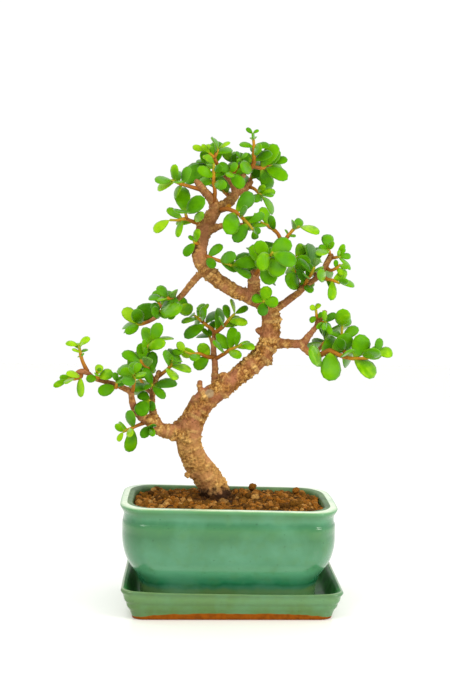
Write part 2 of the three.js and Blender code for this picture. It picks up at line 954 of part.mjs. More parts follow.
// A woody limb follows a smooth curve through its points, four numbers each.
function woodLimb(name, rows, grow = 0) {
  const draw = drawer(name.length * 31 + rows.length);
  const [, , , rootRadius] = rows[0];
  const sides = rootRadius > 8 ? 10 : rootRadius > 4 ? 6 : 5;
  const steps = Math.round((rows.length - 1) * (rootRadius > 8 ? 1.4 : 1));
  const curve = new THREE.CatmullRomCurve3(rows.map(([x, y, z]) => new THREE.Vector3(x, y, z)));
  const points = curve.getPoints(steps);
  const radii = points.map((point, i) => {
    const place = i / steps * (rows.length - 1);
    const low = Math.min(Math.floor(place), rows.length - 2);
    return THREE.MathUtils.lerp(rows[low][3], rows[low + 1][3], place - low);
  });
  return limb(points, radii, sides, grow, () => BARK_RELIEF * draw());
}

function knob([x, y, z, radius], grow = 0) {
  const ball = new THREE.SphereGeometry(radius + grow, 6, 4);
  ball.translate(x, y, z);
  return solid(ball);
}

function wood(grow = 0) {
  const limbs = Object.entries(WOOD).map(([name, rows]) => woodLimb(name, rows, grow));
  return join([...limbs, ...KNOBS.map((row) => knob(row, grow))]);
}

// The place and heading at a share of a stem's length.
function alongStem(points, share) {
  const lengths = points.slice(1).map((point, i) => point.distanceTo(points[i]));
  let left = share * lengths.reduce((a, b) => a + b);
  let i = 0;
  while (i < lengths.length - 1 && left > lengths[i]) {
    left -= lengths[i];
    i++;
  }
  const heading = points[i + 1].clone().sub(points[i]).normalize();
  const place = points[i].clone().addScaledVector(heading, Math.min(left, lengths[i]));
  return { place, heading };
}

// Leaves stand in opposite pairs, each pair a quarter turn on from the one below it.
// Every blade leans out from its stem and turns its upper side to the front and the sky.
function leavesOf({ stem, rule, seed }) {
  const [count, first, turn, spread, lowSize, tipSize, breadth, sky] = rule;
  const height = THREE.MathUtils.degToRad(sky);
  const light = new THREE.Vector3(LIGHT_ASIDE, -Math.cos(height), Math.sin(height));
  const points = stem.map(([x, y, z]) => new THREE.Vector3(x, y, z));
  const draw = drawer(seed);
  const lastPair = Math.max(1, Math.ceil(count / 2) - 1);
  const leaves = [];
  for (let i = 0; i < count; i++) {
    const pair = Math.floor(i / 2);
    const share = pair / lastPair;
    const at = count > 2 ? first + (1 - first) * share : 1;
    const { place, heading } = alongStem(points, at);
    const facing = light.clone().addScaledVector(heading, -light.dot(heading)).normalize();
    const beside = heading.clone().cross(facing);
    const round = THREE.MathUtils.degToRad(turn + 90 * pair + 180 * (i % 2) + 22 * draw());
    const out = THREE.MathUtils.degToRad(spread * (1 - 0.25 * share) + 15 * draw());
    const ahead = heading.clone().multiplyScalar(Math.cos(out))
      .addScaledVector(facing, Math.sin(out) * Math.cos(round))
      .addScaledVector(beside, Math.sin(out) * Math.sin(round))
      .normalize();
    ahead.z += 0.12;
    ahead.normalize();
    const length = (lowSize + (tipSize - lowSize) * share) * (1 + 0.16 * draw());
    const width = length * (breadth + 0.08 * draw());
    const top = light.clone().addScaledVector(heading, 0.35);
    top.addScaledVector(ahead, -top.dot(ahead)).normalize();
    const edge = ahead.clone().cross(top);
    const twist = THREE.MathUtils.degToRad(30 * draw());
    const up = top.clone().multiplyScalar(Math.cos(twist)).addScaledVector(edge, Math.sin(twist));
    leaves.push({ place, ahead, up, side: ahead.clone().cross(up), length, width });
  }
  return leaves;
}

// A blade: an egg-shaped outline, widest past its middle, thick at the midrib and arched.
function leaf({ place, ahead, up, side, length, width }, grow = 0) {
  const thick = 0.45 + 0.04 * width;
  const ringAt = (share, half, deep) => {
    const arch = LEAF_ARCH * length * 4 * share * (1 - share);
    const centre = place.clone()
      .addScaledVector(ahead, share * length)
      .addScaledVector(up, arch);
    return [
      centre.clone().addScaledVector(up, deep),
      centre.clone().addScaledVector(side, half),
      centre.clone().addScaledVector(up, -deep),
      centre.clone().addScaledVector(side, -half),
    ];
  };
  const rings = [];
  for (const share of length < SMALL_LEAF ? SMALL_STATIONS : LEAF_STATIONS) {
    const bulge = Math.sqrt(1 - (2 * share ** LEAF_ROUND - 1) ** 2) * share / (share + LEAF_FOOT);
    rings.push(ringAt(share, width / 2 * bulge + 1.5 * grow, thick * Math.sqrt(bulge) + 1.2 * grow));
  }
  const tip = place.clone().addScaledVector(ahead, length + grow);
  return solid(loft(rings, place, tip));
}

// A leafy spray: its green stems, and its leaves sunk into them.
function spray(twigs, grow = 0) {
  const solids = [];
  for (const twig of twigs) {
    const points = twig.stem.map(([x, y, z]) => new THREE.Vector3(x, y, z));
    const reach = points.slice(1).reduce((sum, point, i) => sum + point.distanceTo(points[i]), 0);
    const root = STEM_ROOT + STEM_TAPER * reach;
    const radii = points.map((point, i) => {
      return THREE.MathUtils.lerp(root, STEM_TIP, i / (points.length - 1));
    });
    solids.push(limb(points, radii, STEM_SIDES, grow));
    leavesOf(twig).forEach((blade) => solids.push(leaf(blade, grow)));
  }
  return join(solids);
}

const group = new THREE.Group();

function addPiece(name, form, { colour, roughness }) {
  const material = new THREE.MeshStandardMaterial({ color: colour, roughness, metalness: 0 });
  const mesh = new THREE.Mesh(toGeometry(form), material);
  mesh.name = name;
  group.add(mesh);
}

addPiece('drip_tray', dripTray(), TRAY_GLAZE);
addPiece('pot', pot(), CERAMIC);
const clearOfWood = wood(GAP);
addPiece('soil', soil().subtract(clearOfWood), SOIL);
addPiece('trunk', cleaned(wood()), BARK);

// Each spray stops a gap short of the bark and of the sprays already placed.
const placed = [];
for (const [name, twigs] of Object.entries(SPRAYS)) {
  let form = spray(twigs).subtract(clearOfWood);
  for (const clearOfSpray of placed) {
    if (boxesMeet(form, clearOfSpray)) {
      form = form.subtract(clearOfSpray);
    }
  }
  placed.push(spray(twigs, GAP));
  const tone = twigs[0].tone / BRIGHTEST_TONE;
  const colour = DARK_LEAF.clone().lerp(YOUNG_LEAF, tone);
  addPiece(name, cleaned(form), { colour, roughness: 0.35 });
}

export default group;
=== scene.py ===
# %% [markdown]
# # A small money tree in a glazed pot
#
# The tree is a thick-stemmed succulent with paired, rounded, fleshy leaves. It grows in a
# jade green glazed pot that stands in its own drip tray. Everything below is made round
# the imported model, which gives each piece its place: the bark, the leaves, the glaze and
# the grains are made finer here, and each piece keeps the form of the solid it stands for.
# Lengths are written in millimetres, as in the model, and turned into metres at the end.

import itertools

import bpy
import numpy as np
from mathutils import Matrix, Vector


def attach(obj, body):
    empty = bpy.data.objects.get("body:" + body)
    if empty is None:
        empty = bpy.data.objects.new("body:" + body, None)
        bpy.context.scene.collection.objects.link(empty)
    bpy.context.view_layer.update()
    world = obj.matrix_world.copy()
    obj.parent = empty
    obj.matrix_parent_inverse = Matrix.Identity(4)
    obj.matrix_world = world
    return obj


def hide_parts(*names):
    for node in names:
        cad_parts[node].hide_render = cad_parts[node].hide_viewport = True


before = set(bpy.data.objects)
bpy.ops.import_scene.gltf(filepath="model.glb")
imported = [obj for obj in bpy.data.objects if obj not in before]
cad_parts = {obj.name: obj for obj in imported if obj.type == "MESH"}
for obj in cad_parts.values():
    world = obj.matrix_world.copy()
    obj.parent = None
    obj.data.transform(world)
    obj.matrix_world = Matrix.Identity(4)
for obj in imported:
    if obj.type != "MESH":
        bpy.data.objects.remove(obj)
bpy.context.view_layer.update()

# %% [markdown]
# ## Camera
#
# The photograph looks at the tree from about its own middle height and a little down, so
# upright things stay nearly upright. A 70 mm lens almost a metre away gives the same
# slight flattening. The camera's three directions are worked out from its turn, its tilt
# and its roll, and become the columns of its matrix.

# %% The camera at the photograph's place
MM = 0.001
CAMERA_PLACE = np.array([-26.5, -945.0, 238.4])
CAMERA_TURN, CAMERA_TILT, CAMERA_ROLL = np.radians([1.3, 2.8, 0.4])


def camera_axes(turn, tilt, roll):
    """Right, up and ahead: ahead is turned to the right of +Y and tilted down, and the
    other two are square to it, rolled round it."""
    ahead = np.array([np.sin(turn) * np.cos(tilt), np.cos(turn) * np.cos(tilt), -np.sin(tilt)])
    level = np.array([np.cos(turn), -np.sin(turn), 0.0])
    upright = np.cross(level, ahead)
    right = np.cos(roll) * level + np.sin(roll) * upright
    up = np.cos(roll) * upright - np.sin(roll) * level
    return right, up, ahead


right, up, ahead = camera_axes(CAMERA_TURN, CAMERA_TILT, CAMERA_ROLL)
lens = bpy.data.cameras.new("camera")
lens.lens = 70
lens.sensor_width = 36
lens.clip_end = 20
camera = bpy.data.objects.new("camera", lens)
bpy.context.scene.collection.objects.link(camera)
camera.matrix_world = Matrix([
    [*row, place] for row, place in zip(np.stack([right, up, -ahead], axis=1), CAMERA_PLACE * MM)
] + [[0, 0, 0, 1]])
bpy.context.scene.camera = camera
print("camera looks along", np.round(ahead, 3))

# %% [markdown]
# ## Floor and light
#
# The tree was photographed on a white table against white, lit softly from all round, so
# that the ground all but disappears. A white world gives the light from all round, a wide
# panel above on the left gives the leaves their upper light, and a smaller one on the
# right draws the bright spots on the glaze. The floor is one pale sheet with a slight
# gloss, which gives the faint mirror image under the tray.

# %% A pale floor, a white world and two soft panels


def linear(red, green, blue):
    """A colour given as three numbers from 0 to 255 as a screen shows them, turned to the
    shares of light that Blender works with."""
    share = np.array([red, green, blue]) / 255
    light = np.where(share <= 0.04045, share / 12.92, ((share + 0.055) / 1.055) ** 2.4)
    return (*light.tolist(), 1.0)


def soft_panel(name, place, aim, size, power, colour):
    """A square area light at a place in millimetres, facing a point in millimetres."""
    light = bpy.data.lights.new(name, "AREA")
    light.shape = "SQUARE"
    light.size = size * MM
    light.energy = power
    light.color = colour
    panel = bpy.data.objects.new(name, light)
    bpy.context.scene.collection.objects.link(panel)
    panel.location = Vector(place) * MM
    panel.rotation_euler = (Vector(aim) - Vector(place)).to_track_quat("-Z", "Y").to_euler()
    return panel


bpy.context.scene.view_settings.view_transform = "Standard"
world = bpy.data.worlds.new("white_room")
bpy.context.scene.world = world
world.use_nodes = True
world.node_tree.nodes["Background"].inputs["Color"].default_value = (1.0, 1.0, 1.0, 1.0)
world.node_tree.nodes["Background"].inputs["Strength"].default_value = 1.02

soft_panel("panel_left", (-420, -520, 760), (0, 0, 160), 420, 3.2, (1.0, 0.98, 0.95))
soft_panel("panel_right", (520, -420, 420), (0, 0, 80), 360, 3.2, (1.0, 0.97, 0.92))

FLOOR_HALF, FLOOR_DROP = 2500, 0.2
floor_corners = np.array([[-1, -1, 0], [1, -1, 0], [1, 1, 0], [-1, 1, 0]]) * FLOOR_HALF - [0, 0, FLOOR_DROP]
floor_mesh = bpy.data.meshes.new("floor")
floor_mesh.from_pydata((floor_corners * MM).tolist(), [], [(0, 1, 2, 3)])
floor = bpy.data.objects.new("floor", floor_mesh)
bpy.context.scene.collection.objects.link(floor)
floor_material = bpy.data.materials.new("white_table")
floor_material.use_nodes = True
table_top = floor_material.node_tree.nodes["Principled BSDF"]
table_top.inputs["Base Color"].default_value = linear(252, 253, 248)
table_top.inputs["Roughness"].default_value = 0.22
floor.data.materials.append(floor_material)
print("floor reaches", FLOOR_HALF, "mm each way")

# %% [markdown]
# ## Making a mesh from arrays
#
# Every piece here is a surface worked out as whole arrays of points: rings of points
# carried along a profile or a path. Three helpers serve them all. The first gives the
# faces of a closed skin over such rings. The second puts points, faces and named values
# into a mesh. The third hangs the piece on the body it rides on and hides the model's nodes
# that it stands in for. Nothing made by hand is quite even, so noise that comes out the same in
# every run is ready as well.

# %% Closed skins over rings of points


def unit(vectors):
    """Each vector over its own length."""
    return vectors / np.linalg.norm(vectors, axis=-1, keepdims=True)


def skin_faces(rings, sides):
    """Faces over rings of points that turn anticlockwise seen from the last ring: quads
    between neighbouring rings, and a fan at each end to one pole. The start pole comes
    straight after the rings' points, and the end pole after it."""
    ring, side = np.meshgrid(np.arange(rings - 1), np.arange(sides), indexing="ij")
    a = (ring * sides + side).ravel()
    b = (ring * sides + (side + 1) % sides).ravel()
    quads = np.stack([a, b, b + sides, a + sides], axis=1)
    here = np.arange(sides)
    following = (here + 1) % sides
    start, end, last = rings * sides, rings * sides + 1, (rings - 1) * sides
    fans = np.concatenate([
        np.stack([np.full(sides, start), following, here], axis=1),
        np.stack([np.full(sides, end), last + here, last + following], axis=1),
    ])
    return quads, fans


def closed_skin(grid, start=None, end=None):
    """Points and faces of a closed skin over a grid of rings, shape (rings, sides, 3).
    A pole that isn't given is the middle of its ring."""
    rings, sides = grid.shape[:2]
    start = grid[0].mean(axis=0) if start is None else start
    end = grid[-1].mean(axis=0) if end is None else end
    points = np.concatenate([grid.reshape(-1, 3), [start, end]])
    return points, skin_faces(rings, sides)


def merge_skins(skins):
    """Several closed skins as one list of points and one of faces."""
    points, quads, fans = [], [], []
    count = 0
    for skin_points, (skin_quads, skin_fans) in skins:
        points.append(skin_points)
        quads.append(skin_quads + count)
        fans.append(skin_fans + count)
        count += len(skin_points)
    return np.concatenate(points), (np.concatenate(quads), np.concatenate(fans))

# %% Noise that is the same in every run


def random_heights(cells):
    """One fixed height from -1 to 1 for each cell of a lattice."""
    wave = np.sin(cells @ np.array([12.9898, 78.233, 37.719])) * 43758.5453
    return (wave - np.floor(wave)) * 2 - 1


def lumps(points, size, seed=0.0):
    """Smooth hills and hollows from -1 to 1: fixed random heights at the corners of
    cubes that are size wide, blended inside each cube by a smooth step."""
    place = points / size + seed * 17.31
    cell = np.floor(place)
    inside = place - cell
    inside = inside * inside * (3 - 2 * inside)
    total = np.zeros(len(points))
    for corner in itertools.product((0.0, 1.0), repeat=3):
        step = np.array(corner)
        weight = np.prod(np.where(step > 0, inside, 1 - inside), axis=1)
        total += weight * random_heights(cell + step)
    return total

# %% A mesh from arrays, and a piece from a mesh


def make_mesh(name, points, faces, values=None, face_material=None):
    """A smooth mesh from points in millimetres, arrays of faces with equal corner counts
    each, and named values of one or three numbers for every point."""
    mesh = bpy.data.meshes.new(name)
    corners = np.concatenate([part.ravel() for part in faces]).astype(np.int32)
    counts = np.concatenate([np.full(len(part), part.shape[1]) for part in faces])
    starts = np.concatenate([[0], np.cumsum(counts)[:-1]]).astype(np.int32)
    mesh.vertices.add(len(points))
    mesh.vertices.foreach_set("co", (np.asarray(points) * MM).astype(np.float32).ravel())
    mesh.loops.add(len(corners))
    mesh.loops.foreach_set("vertex_index", corners)
    mesh.polygons.add(len(starts))
    mesh.polygons.foreach_set("loop_start", starts)
    mesh.polygons.foreach_set("use_smooth", np.ones(len(starts), dtype=bool))
    if face_material is not None:
        mesh.polygons.foreach_set("material_index", face_material.astype(np.int32))
    mesh.update(calc_edges=True)
    for label, numbers in (values or {}).items():
        kind = "FLOAT" if numbers.ndim == 1 else "FLOAT_VECTOR"
        layer = mesh.attributes.new(label, kind, "POINT")
        field = "value" if numbers.ndim == 1 else "vector"
        layer.data.foreach_set(field, numbers.astype(np.float32).ravel())
    return mesh


def place_piece(name, mesh, materials, nodes):
    """The mesh as a piece of the tree, riding on its one body in the place of nodes."""
    piece = bpy.data.objects.new(name, mesh)
    bpy.context.scene.collection.objects.link(piece)
    for material in materials:
        mesh.materials.append(material)
    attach(piece, "root")
    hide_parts(*nodes)
    print(name, len(mesh.vertices), "points,", len(mesh.polygons), "faces")
    return piece

# %% [markdown]
# ## Glazed ceramic
#
# Both dishes have the same kind of glaze: jade green where it lies thick, and pale where it
# has drawn thin over a sharp edge; on the pot's lip the pale band is also a painted
# highlight. The dark teal band at the pot's waist, under the belly, and the darker band in
# its groove are painted shade. The shape tells where all that is, so each point of the mesh
# carries its own height before the dish was leaned, and a colour ramp over that height
# gives the bands. Low noise gives the cloudy change from hand dipping, and fine noise the
# dark specks of iron in the clay.

# %% Small helpers that lay out a material's nodes


def new_material(name):
    """An empty material, with a function that adds a node to it with some of its
    settings and inputs filled in."""
    material = bpy.data.materials.new(name)
    material.use_nodes = True
    tree = material.node_tree
    tree.nodes.clear()

    def add(kind, settings=None, **inputs):
        node = tree.nodes.new(kind)
        for label, value in (settings or {}).items():
            setattr(node, label, value)
        for label, value in inputs.items():
            socket = node.inputs[label.replace("_", " ")]
            if isinstance(value, bpy.types.NodeSocket):
                tree.links.new(value, socket)
            else:
                socket.default_value = value
        return node

    return material, add


def carried(add, label, output="Fac"):
    """What the mesh's points carry under a name."""
    return add("ShaderNodeAttribute", {"attribute_name": label}).outputs[output]


def ramp(add, value, stops):
    """A colour ramp over a value, with stops of (place, colour)."""
    node = add("ShaderNodeValToRGB", Fac=value)
    elements = node.color_ramp.elements
    while len(elements) < len(stops):
        elements.new(0.5)
    for element, (place, colour) in zip(elements, stops):
        element.position = place
        element.color = colour
    return node.outputs["Color"]


def mixed(add, share, first, second):
    """Two colours mixed by a share."""
    node = add("ShaderNodeMix", {"data_type": "RGBA"})
    for label, value in (("Factor", share), ("A", first), ("B", second)):
        socket = [s for s in node.inputs if s.name == label and s.enabled][0]
        if isinstance(value, bpy.types.NodeSocket):
            node.id_data.links.new(value, socket)
        else:
            socket.default_value = value
    return [s for s in node.outputs if s.enabled][0]


def stretched(add, value, low, high, to_low=0.0, to_high=1.0):
    """A value moved from one range to another, and kept inside it."""
    node = add(
        "ShaderNodeMapRange", Value=value, From_Min=low, From_Max=high, To_Min=to_low, To_Max=to_high)
    return node.outputs["Result"]


def maths(add, operation, first, second=0.0):
    """One sum on two values."""
    node = add("ShaderNodeMath", {"operation": operation})
    for socket, value in zip(node.inputs, (first, second)):
        if isinstance(value, bpy.types.NodeSocket):
            node.id_data.links.new(value, socket)
        else:
            socket.default_value = value
    return node.outputs["Value"]


def noise(add, size, detail=2.0, rough=0.5):
    """Noise over the piece's own coordinates, with hills about size millimetres wide."""
    place = add("ShaderNodeTexCoord").outputs["Object"]
    node = add("ShaderNodeTexNoise", Vector=place, Scale=1 / (size * MM), Detail=detail, Roughness=rough)
    return node.outputs["Fac"]


def distance_from(add, place):
    """How far each point of the piece is from a place given in millimetres."""
    node = add("ShaderNodeVectorMath", {"operation": "DISTANCE"})
    node.id_data.links.new(add("ShaderNodeTexCoord").outputs["Object"], node.inputs[0])
    node.inputs[1].default_value = tuple(value * MM for value in place)
    return node.outputs["Value"]


def bumped(add, height, strength, depth):
    """The surface's direction, tipped by a height that is at most depth millimetres."""
    return add("ShaderNodeBump", Height=height, Strength=strength, Distance=depth * MM).outputs["Normal"]


def finish_material(add, colour, roughness, gloss, direction=None):
    """The surface shader and the output. The gloss is the shader's specular level."""
    surface = add(
        "ShaderNodeBsdfPrincipled", Base_Color=colour, Roughness=roughness, Specular_IOR_Level=gloss)
    if direction:
        surface.id_data.links.new(direction, surface.inputs["Normal"])
    add("ShaderNodeOutputMaterial", Surface=surface.outputs["BSDF"])

# %% A glaze that changes with height, and the bare clay under it
# The bands wander by BAND_DRIFT millimetres up to DRIFT_WHOLE below the lip, and by a
# small share of it from DRIFT_LEAST below the lip.
BAND_DRIFT, DRIFT_WHOLE, DRIFT_LEAST, DRIFT_LEFT = 0.9, 9, 2, 0.1
# How far the edge of the bare clay wanders, in millimetres.
BARE_DRIFT = 0.35


def glaze_material(name, full_height, bands, inner, bare_height, bare_drop, bare_reach):
    """Glaze bands over the height in the rise value, cloudy and specked, over bare clay
    below a line that drops towards the two ends of the dish: by bare_drop times the
    fourth power of the distance from the middle, counted in reaches. Inside the dish the
    glaze lies between two inner colours, and is duller."""
    material, add = new_material(name)
    rise = carried(add, "rise")
    inside = carried(add, "inside")
    cloud = noise(add, 26, 3.0, 0.55)
    wave = noise(add, 9, 2.0)
    loose = stretched(add, rise, full_height - DRIFT_LEAST, full_height - DRIFT_WHOLE, DRIFT_LEFT, 1)
    drift = stretched(add, wave, 0.3, 0.7, -BAND_DRIFT, BAND_DRIFT)
    shifted = maths(add, "ADD", rise, maths(add, "MULTIPLY", loose, drift))
    height = stretched(add, shifted, 0, full_height)
    glaze = ramp(add, height, [(place / full_height, linear(*colour)) for place, colour in bands])
    glaze = mixed(add, stretched(add, cloud, 0.42, 0.72, 0, 0.4), glaze, linear(92, 152, 120))
    glaze = mixed(add, stretched(add, wave, 0.5, 0.75, 0, 0.3), glaze, linear(72, 120, 62))
    inner_glaze = mixed(add, stretched(add, wave, 0.35, 0.65), *(linear(*tint) for tint in inner))
    glaze = mixed(add, inside, glaze, inner_glaze)
    specks = noise(add, 1.5, 1.0)
    glaze = mixed(add, stretched(add, specks, 0.74, 0.79, 0, 0.55), glaze, linear(28, 56, 30))
    clay = mixed(add, stretched(add, noise(add, 3, 4.0), 0.4, 0.7), linear(138, 72, 6), linear(114, 58, 4))
    place = add("ShaderNodeTexCoord").outputs["Object"]
    across = maths(add, "DIVIDE", add("ShaderNodeSeparateXYZ", Vector=place).outputs["X"], bare_reach * MM)
    end = maths(add, "POWER", maths(add, "ABSOLUTE", across), 4.0)
    line = maths(add, "SUBTRACT", bare_height, maths(add, "MULTIPLY", end, bare_drop))
    line = maths(add, "ADD", line, stretched(add, noise(add, 6), 0.3, 0.7, -BARE_DRIFT, BARE_DRIFT))
    glazed = stretched(add, maths(add, "SUBTRACT", rise, line), -0.15, 0.25)
    colour = mixed(add, glazed, clay, glaze)
    rough = maths(add, "ADD", stretched(add, glazed, 0, 1, 0.9, 0.19), maths(add, "MULTIPLY", inside, 0.3))
    dimples = bumped(add, noise(add, 5, 3.0), 0.12, 0.4)
    finish_material(add, colour, rough, stretched(add, glazed, 0, 1, 0.1, 0.5), dimples)
    return material

# %% The tray's glaze and the pot's
# Each band is a height in millimetres and its colour.
TRAY_BANDS = [
    (0, (72, 104, 40)), (5, (74, 104, 42)), (7.5, (76, 112, 50)), (10, (76, 112, 54)),
    (12.5, (82, 118, 62)), (14.4, (90, 128, 70)), (16, (86, 124, 68)), (17.2, (72, 104, 56)),
    (18.0, (80, 112, 62)), (18.8, (150, 172, 118)),
]
# The tray's inner colours are dark: painted shade inside the tray, under the pot.
TRAY_INNER_SHADE = [(14, 88, 24), (40, 116, 44)]
# On the pot, the dark teal bands from 21.5 to 25.5 mm are painted shade at the waist under the belly, the
# dark bands at 64.6 and 66 mm are painted shade in the groove, and the pale bands from 75.9 mm are thin
# glaze with a painted highlight on the lip.
POT_BANDS = [
    (6.3, (92, 108, 56)), (13, (78, 110, 60)), (17.2, (90, 124, 72)), (18.7, (84, 126, 74)),
    (20.1, (65, 120, 84)), (21.5, (46, 114, 80)), (22.8, (25, 99, 61)), (24.2, (38, 119, 77)),
    (25.5, (50, 127, 85)), (27, (60, 130, 90)), (31, (83, 150, 109)), (35, (79, 139, 98)),
    (38.5, (67, 127, 89)), (45, (66, 123, 85)), (56, (54, 107, 66)), (62, (62, 116, 69)),
    (64.6, (46, 108, 64)), (66, (48, 109, 69)), (68.5, (65, 123, 84)), (71.4, (69, 124, 82)),
    (73, (62, 120, 70)), (75.2, (76, 132, 80)), (75.9, (164, 198, 148)), (76, (212, 230, 196)),
]
POT_INNER = [(58, 92, 44), (84, 118, 66)]
tray_glaze = glaze_material(
    "tray_glaze", full_height=19, bands=TRAY_BANDS, inner=TRAY_INNER_SHADE,
    bare_height=4.4, bare_drop=2.8, bare_reach=67)
pot_glaze = glaze_material(
    "pot_glaze", full_height=76, bands=POT_BANDS, inner=POT_INNER,
    bare_height=6.6, bare_drop=0.0, bare_reach=67)
print("glazes with", len(TRAY_BANDS), "and", len(POT_BANDS), "bands")

# %% [markdown]
# ## The drip tray
#
# The tray is a shallow dish pressed in a mould: a rounded rectangle that flares up to a
# soft rolled lip, with its rim warped a little by the drying clay. One profile goes
# up the outside, over the lip and down to the floor, and every point of it is carried
# round a rounded rectangle. Cutting the profile's corners three times gives the softness
# that a thick glaze leaves.

# %% A profile carried round a rounded rectangle


def softened(rows, passes):
    """Cuts the corners of a line of points: each pass puts two points on every edge, a
    quarter of the way in from its ends, and keeps the line's own two ends."""
    rows = np.asarray(rows, dtype=float)
    for _ in range(passes):
        near = 0.75 * rows[:-1] + 0.25 * rows[1:]
        far = 0.25 * rows[:-1] + 0.75 * rows[1:]
        cut = np.stack([near, far], axis=1).reshape(-1, rows.shape[1])
        rows = np.concatenate([rows[:1], cut, rows[-1:]])
    return rows


def rounded_rectangle(arc_steps, side_steps):
    """The four corner arcs and the straight sides between them, anticlockwise, as four
    numbers a point: which corner's centre it turns round in x and in y, from -1 to 1,
    and the cosine and sine of its angle."""
    signs = np.array([[1, 1], [-1, 1], [-1, -1], [1, -1]], dtype=float)
    rows = []
    for quarter in range(4):
        angle = (quarter + np.arange(arc_steps + 1) / arc_steps) * np.pi / 2
        here, following = signs[quarter], signs[(quarter + 1) % 4]
        rows.append(np.column_stack([np.tile(here, (arc_steps + 1, 1)), np.cos(angle), np.sin(angle)]))
        share = (np.arange(1, side_steps + 1) / (side_steps + 1))[:, None]
        centre = here + (following - here) * share
        turn = np.tile([np.cos(angle[-1]), np.sin(angle[-1])], (side_steps, 1))
        rows.append(np.column_stack([centre, turn]))
    return np.concatenate(rows)


def dish_grid(profile, corner, outline):
    """Rings of a dish: profile rows of height, half width and half depth carried round
    the outline, whose corners are quarters of an ellipse. The corner is its reach along
    the long and along the short sides, one pair for all rows or one for each."""
    height, half_width, half_depth = profile.T[:, :, None]
    corner = np.broadcast_to(np.asarray(corner, dtype=float), (len(profile), 2))
    reach_x, reach_y = corner[:, :1], np.minimum(corner[:, 1:], half_depth)
    side_x, side_y, cosine, sine = outline.T
    x = side_x * (half_width - reach_x) + reach_x * cosine
    y = side_y * (half_depth - reach_y) + reach_y * sine
    return np.stack([x, y, np.broadcast_to(height, x.shape)], axis=2)


def glaze_values(profile, rise, pole_rises):
    """What the glaze reads at each point of a dish, with its two poles last: its height
    before the dish was leaned, and 1 where its profile row comes after the highest one."""
    after = np.repeat(np.arange(len(profile)) > np.argmax(profile[:, 0]), len(DISH_OUTLINE))
    return {"rise": np.append(rise, pole_rises), "inside": np.append(after.astype(float), [0.0, 1.0])}


DISH_OUTLINE = rounded_rectangle(arc_steps=12, side_steps=11)
print("each dish has", len(DISH_OUTLINE), "points in a ring")

# %% The tray's skin, with its corners lifted and its rim a little uneven
# How often a profile's corners are cut.
CORNER_CUTS = 3
# The rows are a height, a half width and a half depth.
TRAY_OUTSIDE = [
    [0, 68.4, 50.8], [0, 69.2, 51.6], [1.4, 70.0, 52.5], [3.4, 70.6, 52.7], [5.6, 71.4, 53.0],
    [7.4, 73.0, 53.8], [8.8, 73.6, 54.1], [10.2, 73.6, 54.2], [11.6, 75.0, 55.0], [13.4, 75.4, 55.2],
    [15.2, 75.8, 55.6], [16.4, 77.2, 56.2], [17.6, 77.4, 56.4],
]
TRAY_LIP = [[18.4, 76.4, 55.4], [18.4, 74.8, 53.8]]
TRAY_INSIDE = [[17.4, 73, 52.4], [12, 71.2, 51], [8.5, 69.8, 49.8], [6, 67.4, 48], [6, 60, 41]]
TRAY_HEIGHT, TRAY_FLOOR, TRAY_CORNER, TRAY_CORNER_LIFT, TRAY_TILT = 18.4, 6, 9, 1.9, 0.013
TRAY_HALF_WIDTH = 77.4
# Above EVEN_BELOW, noise moves the wall by up to UNEVEN, where it is UNEVEN_OVER away
# from the middle.
TRAY_UNEVEN, TRAY_EVEN_BELOW, UNEVEN_OVER = 0.3, 0.5, 70

tray_profile = softened(TRAY_OUTSIDE + TRAY_LIP + TRAY_INSIDE, CORNER_CUTS)
tray_grid = dish_grid(tray_profile, [TRAY_CORNER, TRAY_CORNER], DISH_OUTLINE)
tray_rise = tray_grid[..., 2].copy()
rim_share = np.maximum(0, tray_rise - TRAY_FLOOR) / (TRAY_HEIGHT - TRAY_FLOOR)
tray_across = tray_grid[..., 0]
corner_lift = TRAY_CORNER_LIFT * (tray_across / TRAY_HALF_WIDTH) ** 4
tray_grid[..., 2] += rim_share * (corner_lift - TRAY_TILT * tray_across)
tray_points, tray_faces = closed_skin(tray_grid)
unevenness = TRAY_UNEVEN * lumps(tray_points, 34, 1) - TRAY_UNEVEN
tray_points[:, :2] *= 1 + (unevenness * (tray_points[:, 2] > TRAY_EVEN_BELOW) / UNEVEN_OVER)[:, None]
tray_values = glaze_values(tray_profile, tray_rise, [0, TRAY_FLOOR])
tray_mesh = make_mesh("tray_glazed", tray_points, tray_faces, tray_values)
place_piece("tray_glazed", tray_mesh, [tray_glaze], ["drip_tray"])

# %% [markdown]
# ## The pot
#
# The pot is the same kind of form with a longer profile: a foot, a waist with a band of
# painted shade under the belly, a full belly, a groove and a rounded lip. It was cast by
# hand, so its mouth drops a little to the right. Its underside is sunk inside a foot ring,
# and two drain holes go through its floor. The skin is made in one piece from the middle of
# the underside to the middle of the inner floor, and two round bars cut the holes.

# %% The pot's profile, its corners and how it leans
POT_FOOT, POT_FLOOR, POT_RIM, POT_DEPTH_LESS, POT_CENTRE, POT_RIM_DROP = 6.3, 14, 76, 20, -2.2, 0.02
POT_END_BOW, POT_HALF_WIDTH, POT_HALF_DEPTH = 2.8, 75, 55
# The corner's reach on the belly and at the lip, the heights between which it changes,
# and how much further it reaches along the short sides.
POT_CORNER, POT_CORNER_HEIGHTS, POT_CORNER_DEPTH = [20, 16], [58, 66], 1.6
# The rows are a height and a half width.
POT_UNDERSIDE = [[9.8, 42], [9.8, 55.4], [6.3, 55.8], [6.3, 56.5]]
POT_OUTSIDE = [
    [6.3, 61.9], [6.7, 62.6], [17, 63.1], [21, 64.2], [25, 65.6], [28.4, 67.5], [35, 71.4], [41, 73.6],
    [50, 75.2], [60, 74.8], [64.2, 74.4], [65.4, 73.3], [70, 73.1], [72, 74.2], [74.4, 75.4], [75.9, 75.1],
]
POT_INSIDE = [
    [76.1, 70.2], [75.9, 67.8], [75.0, 66.9], [72, 66.6], [50, 67.4], [35, 64.5], [14, 57.5], [14, 48],
]


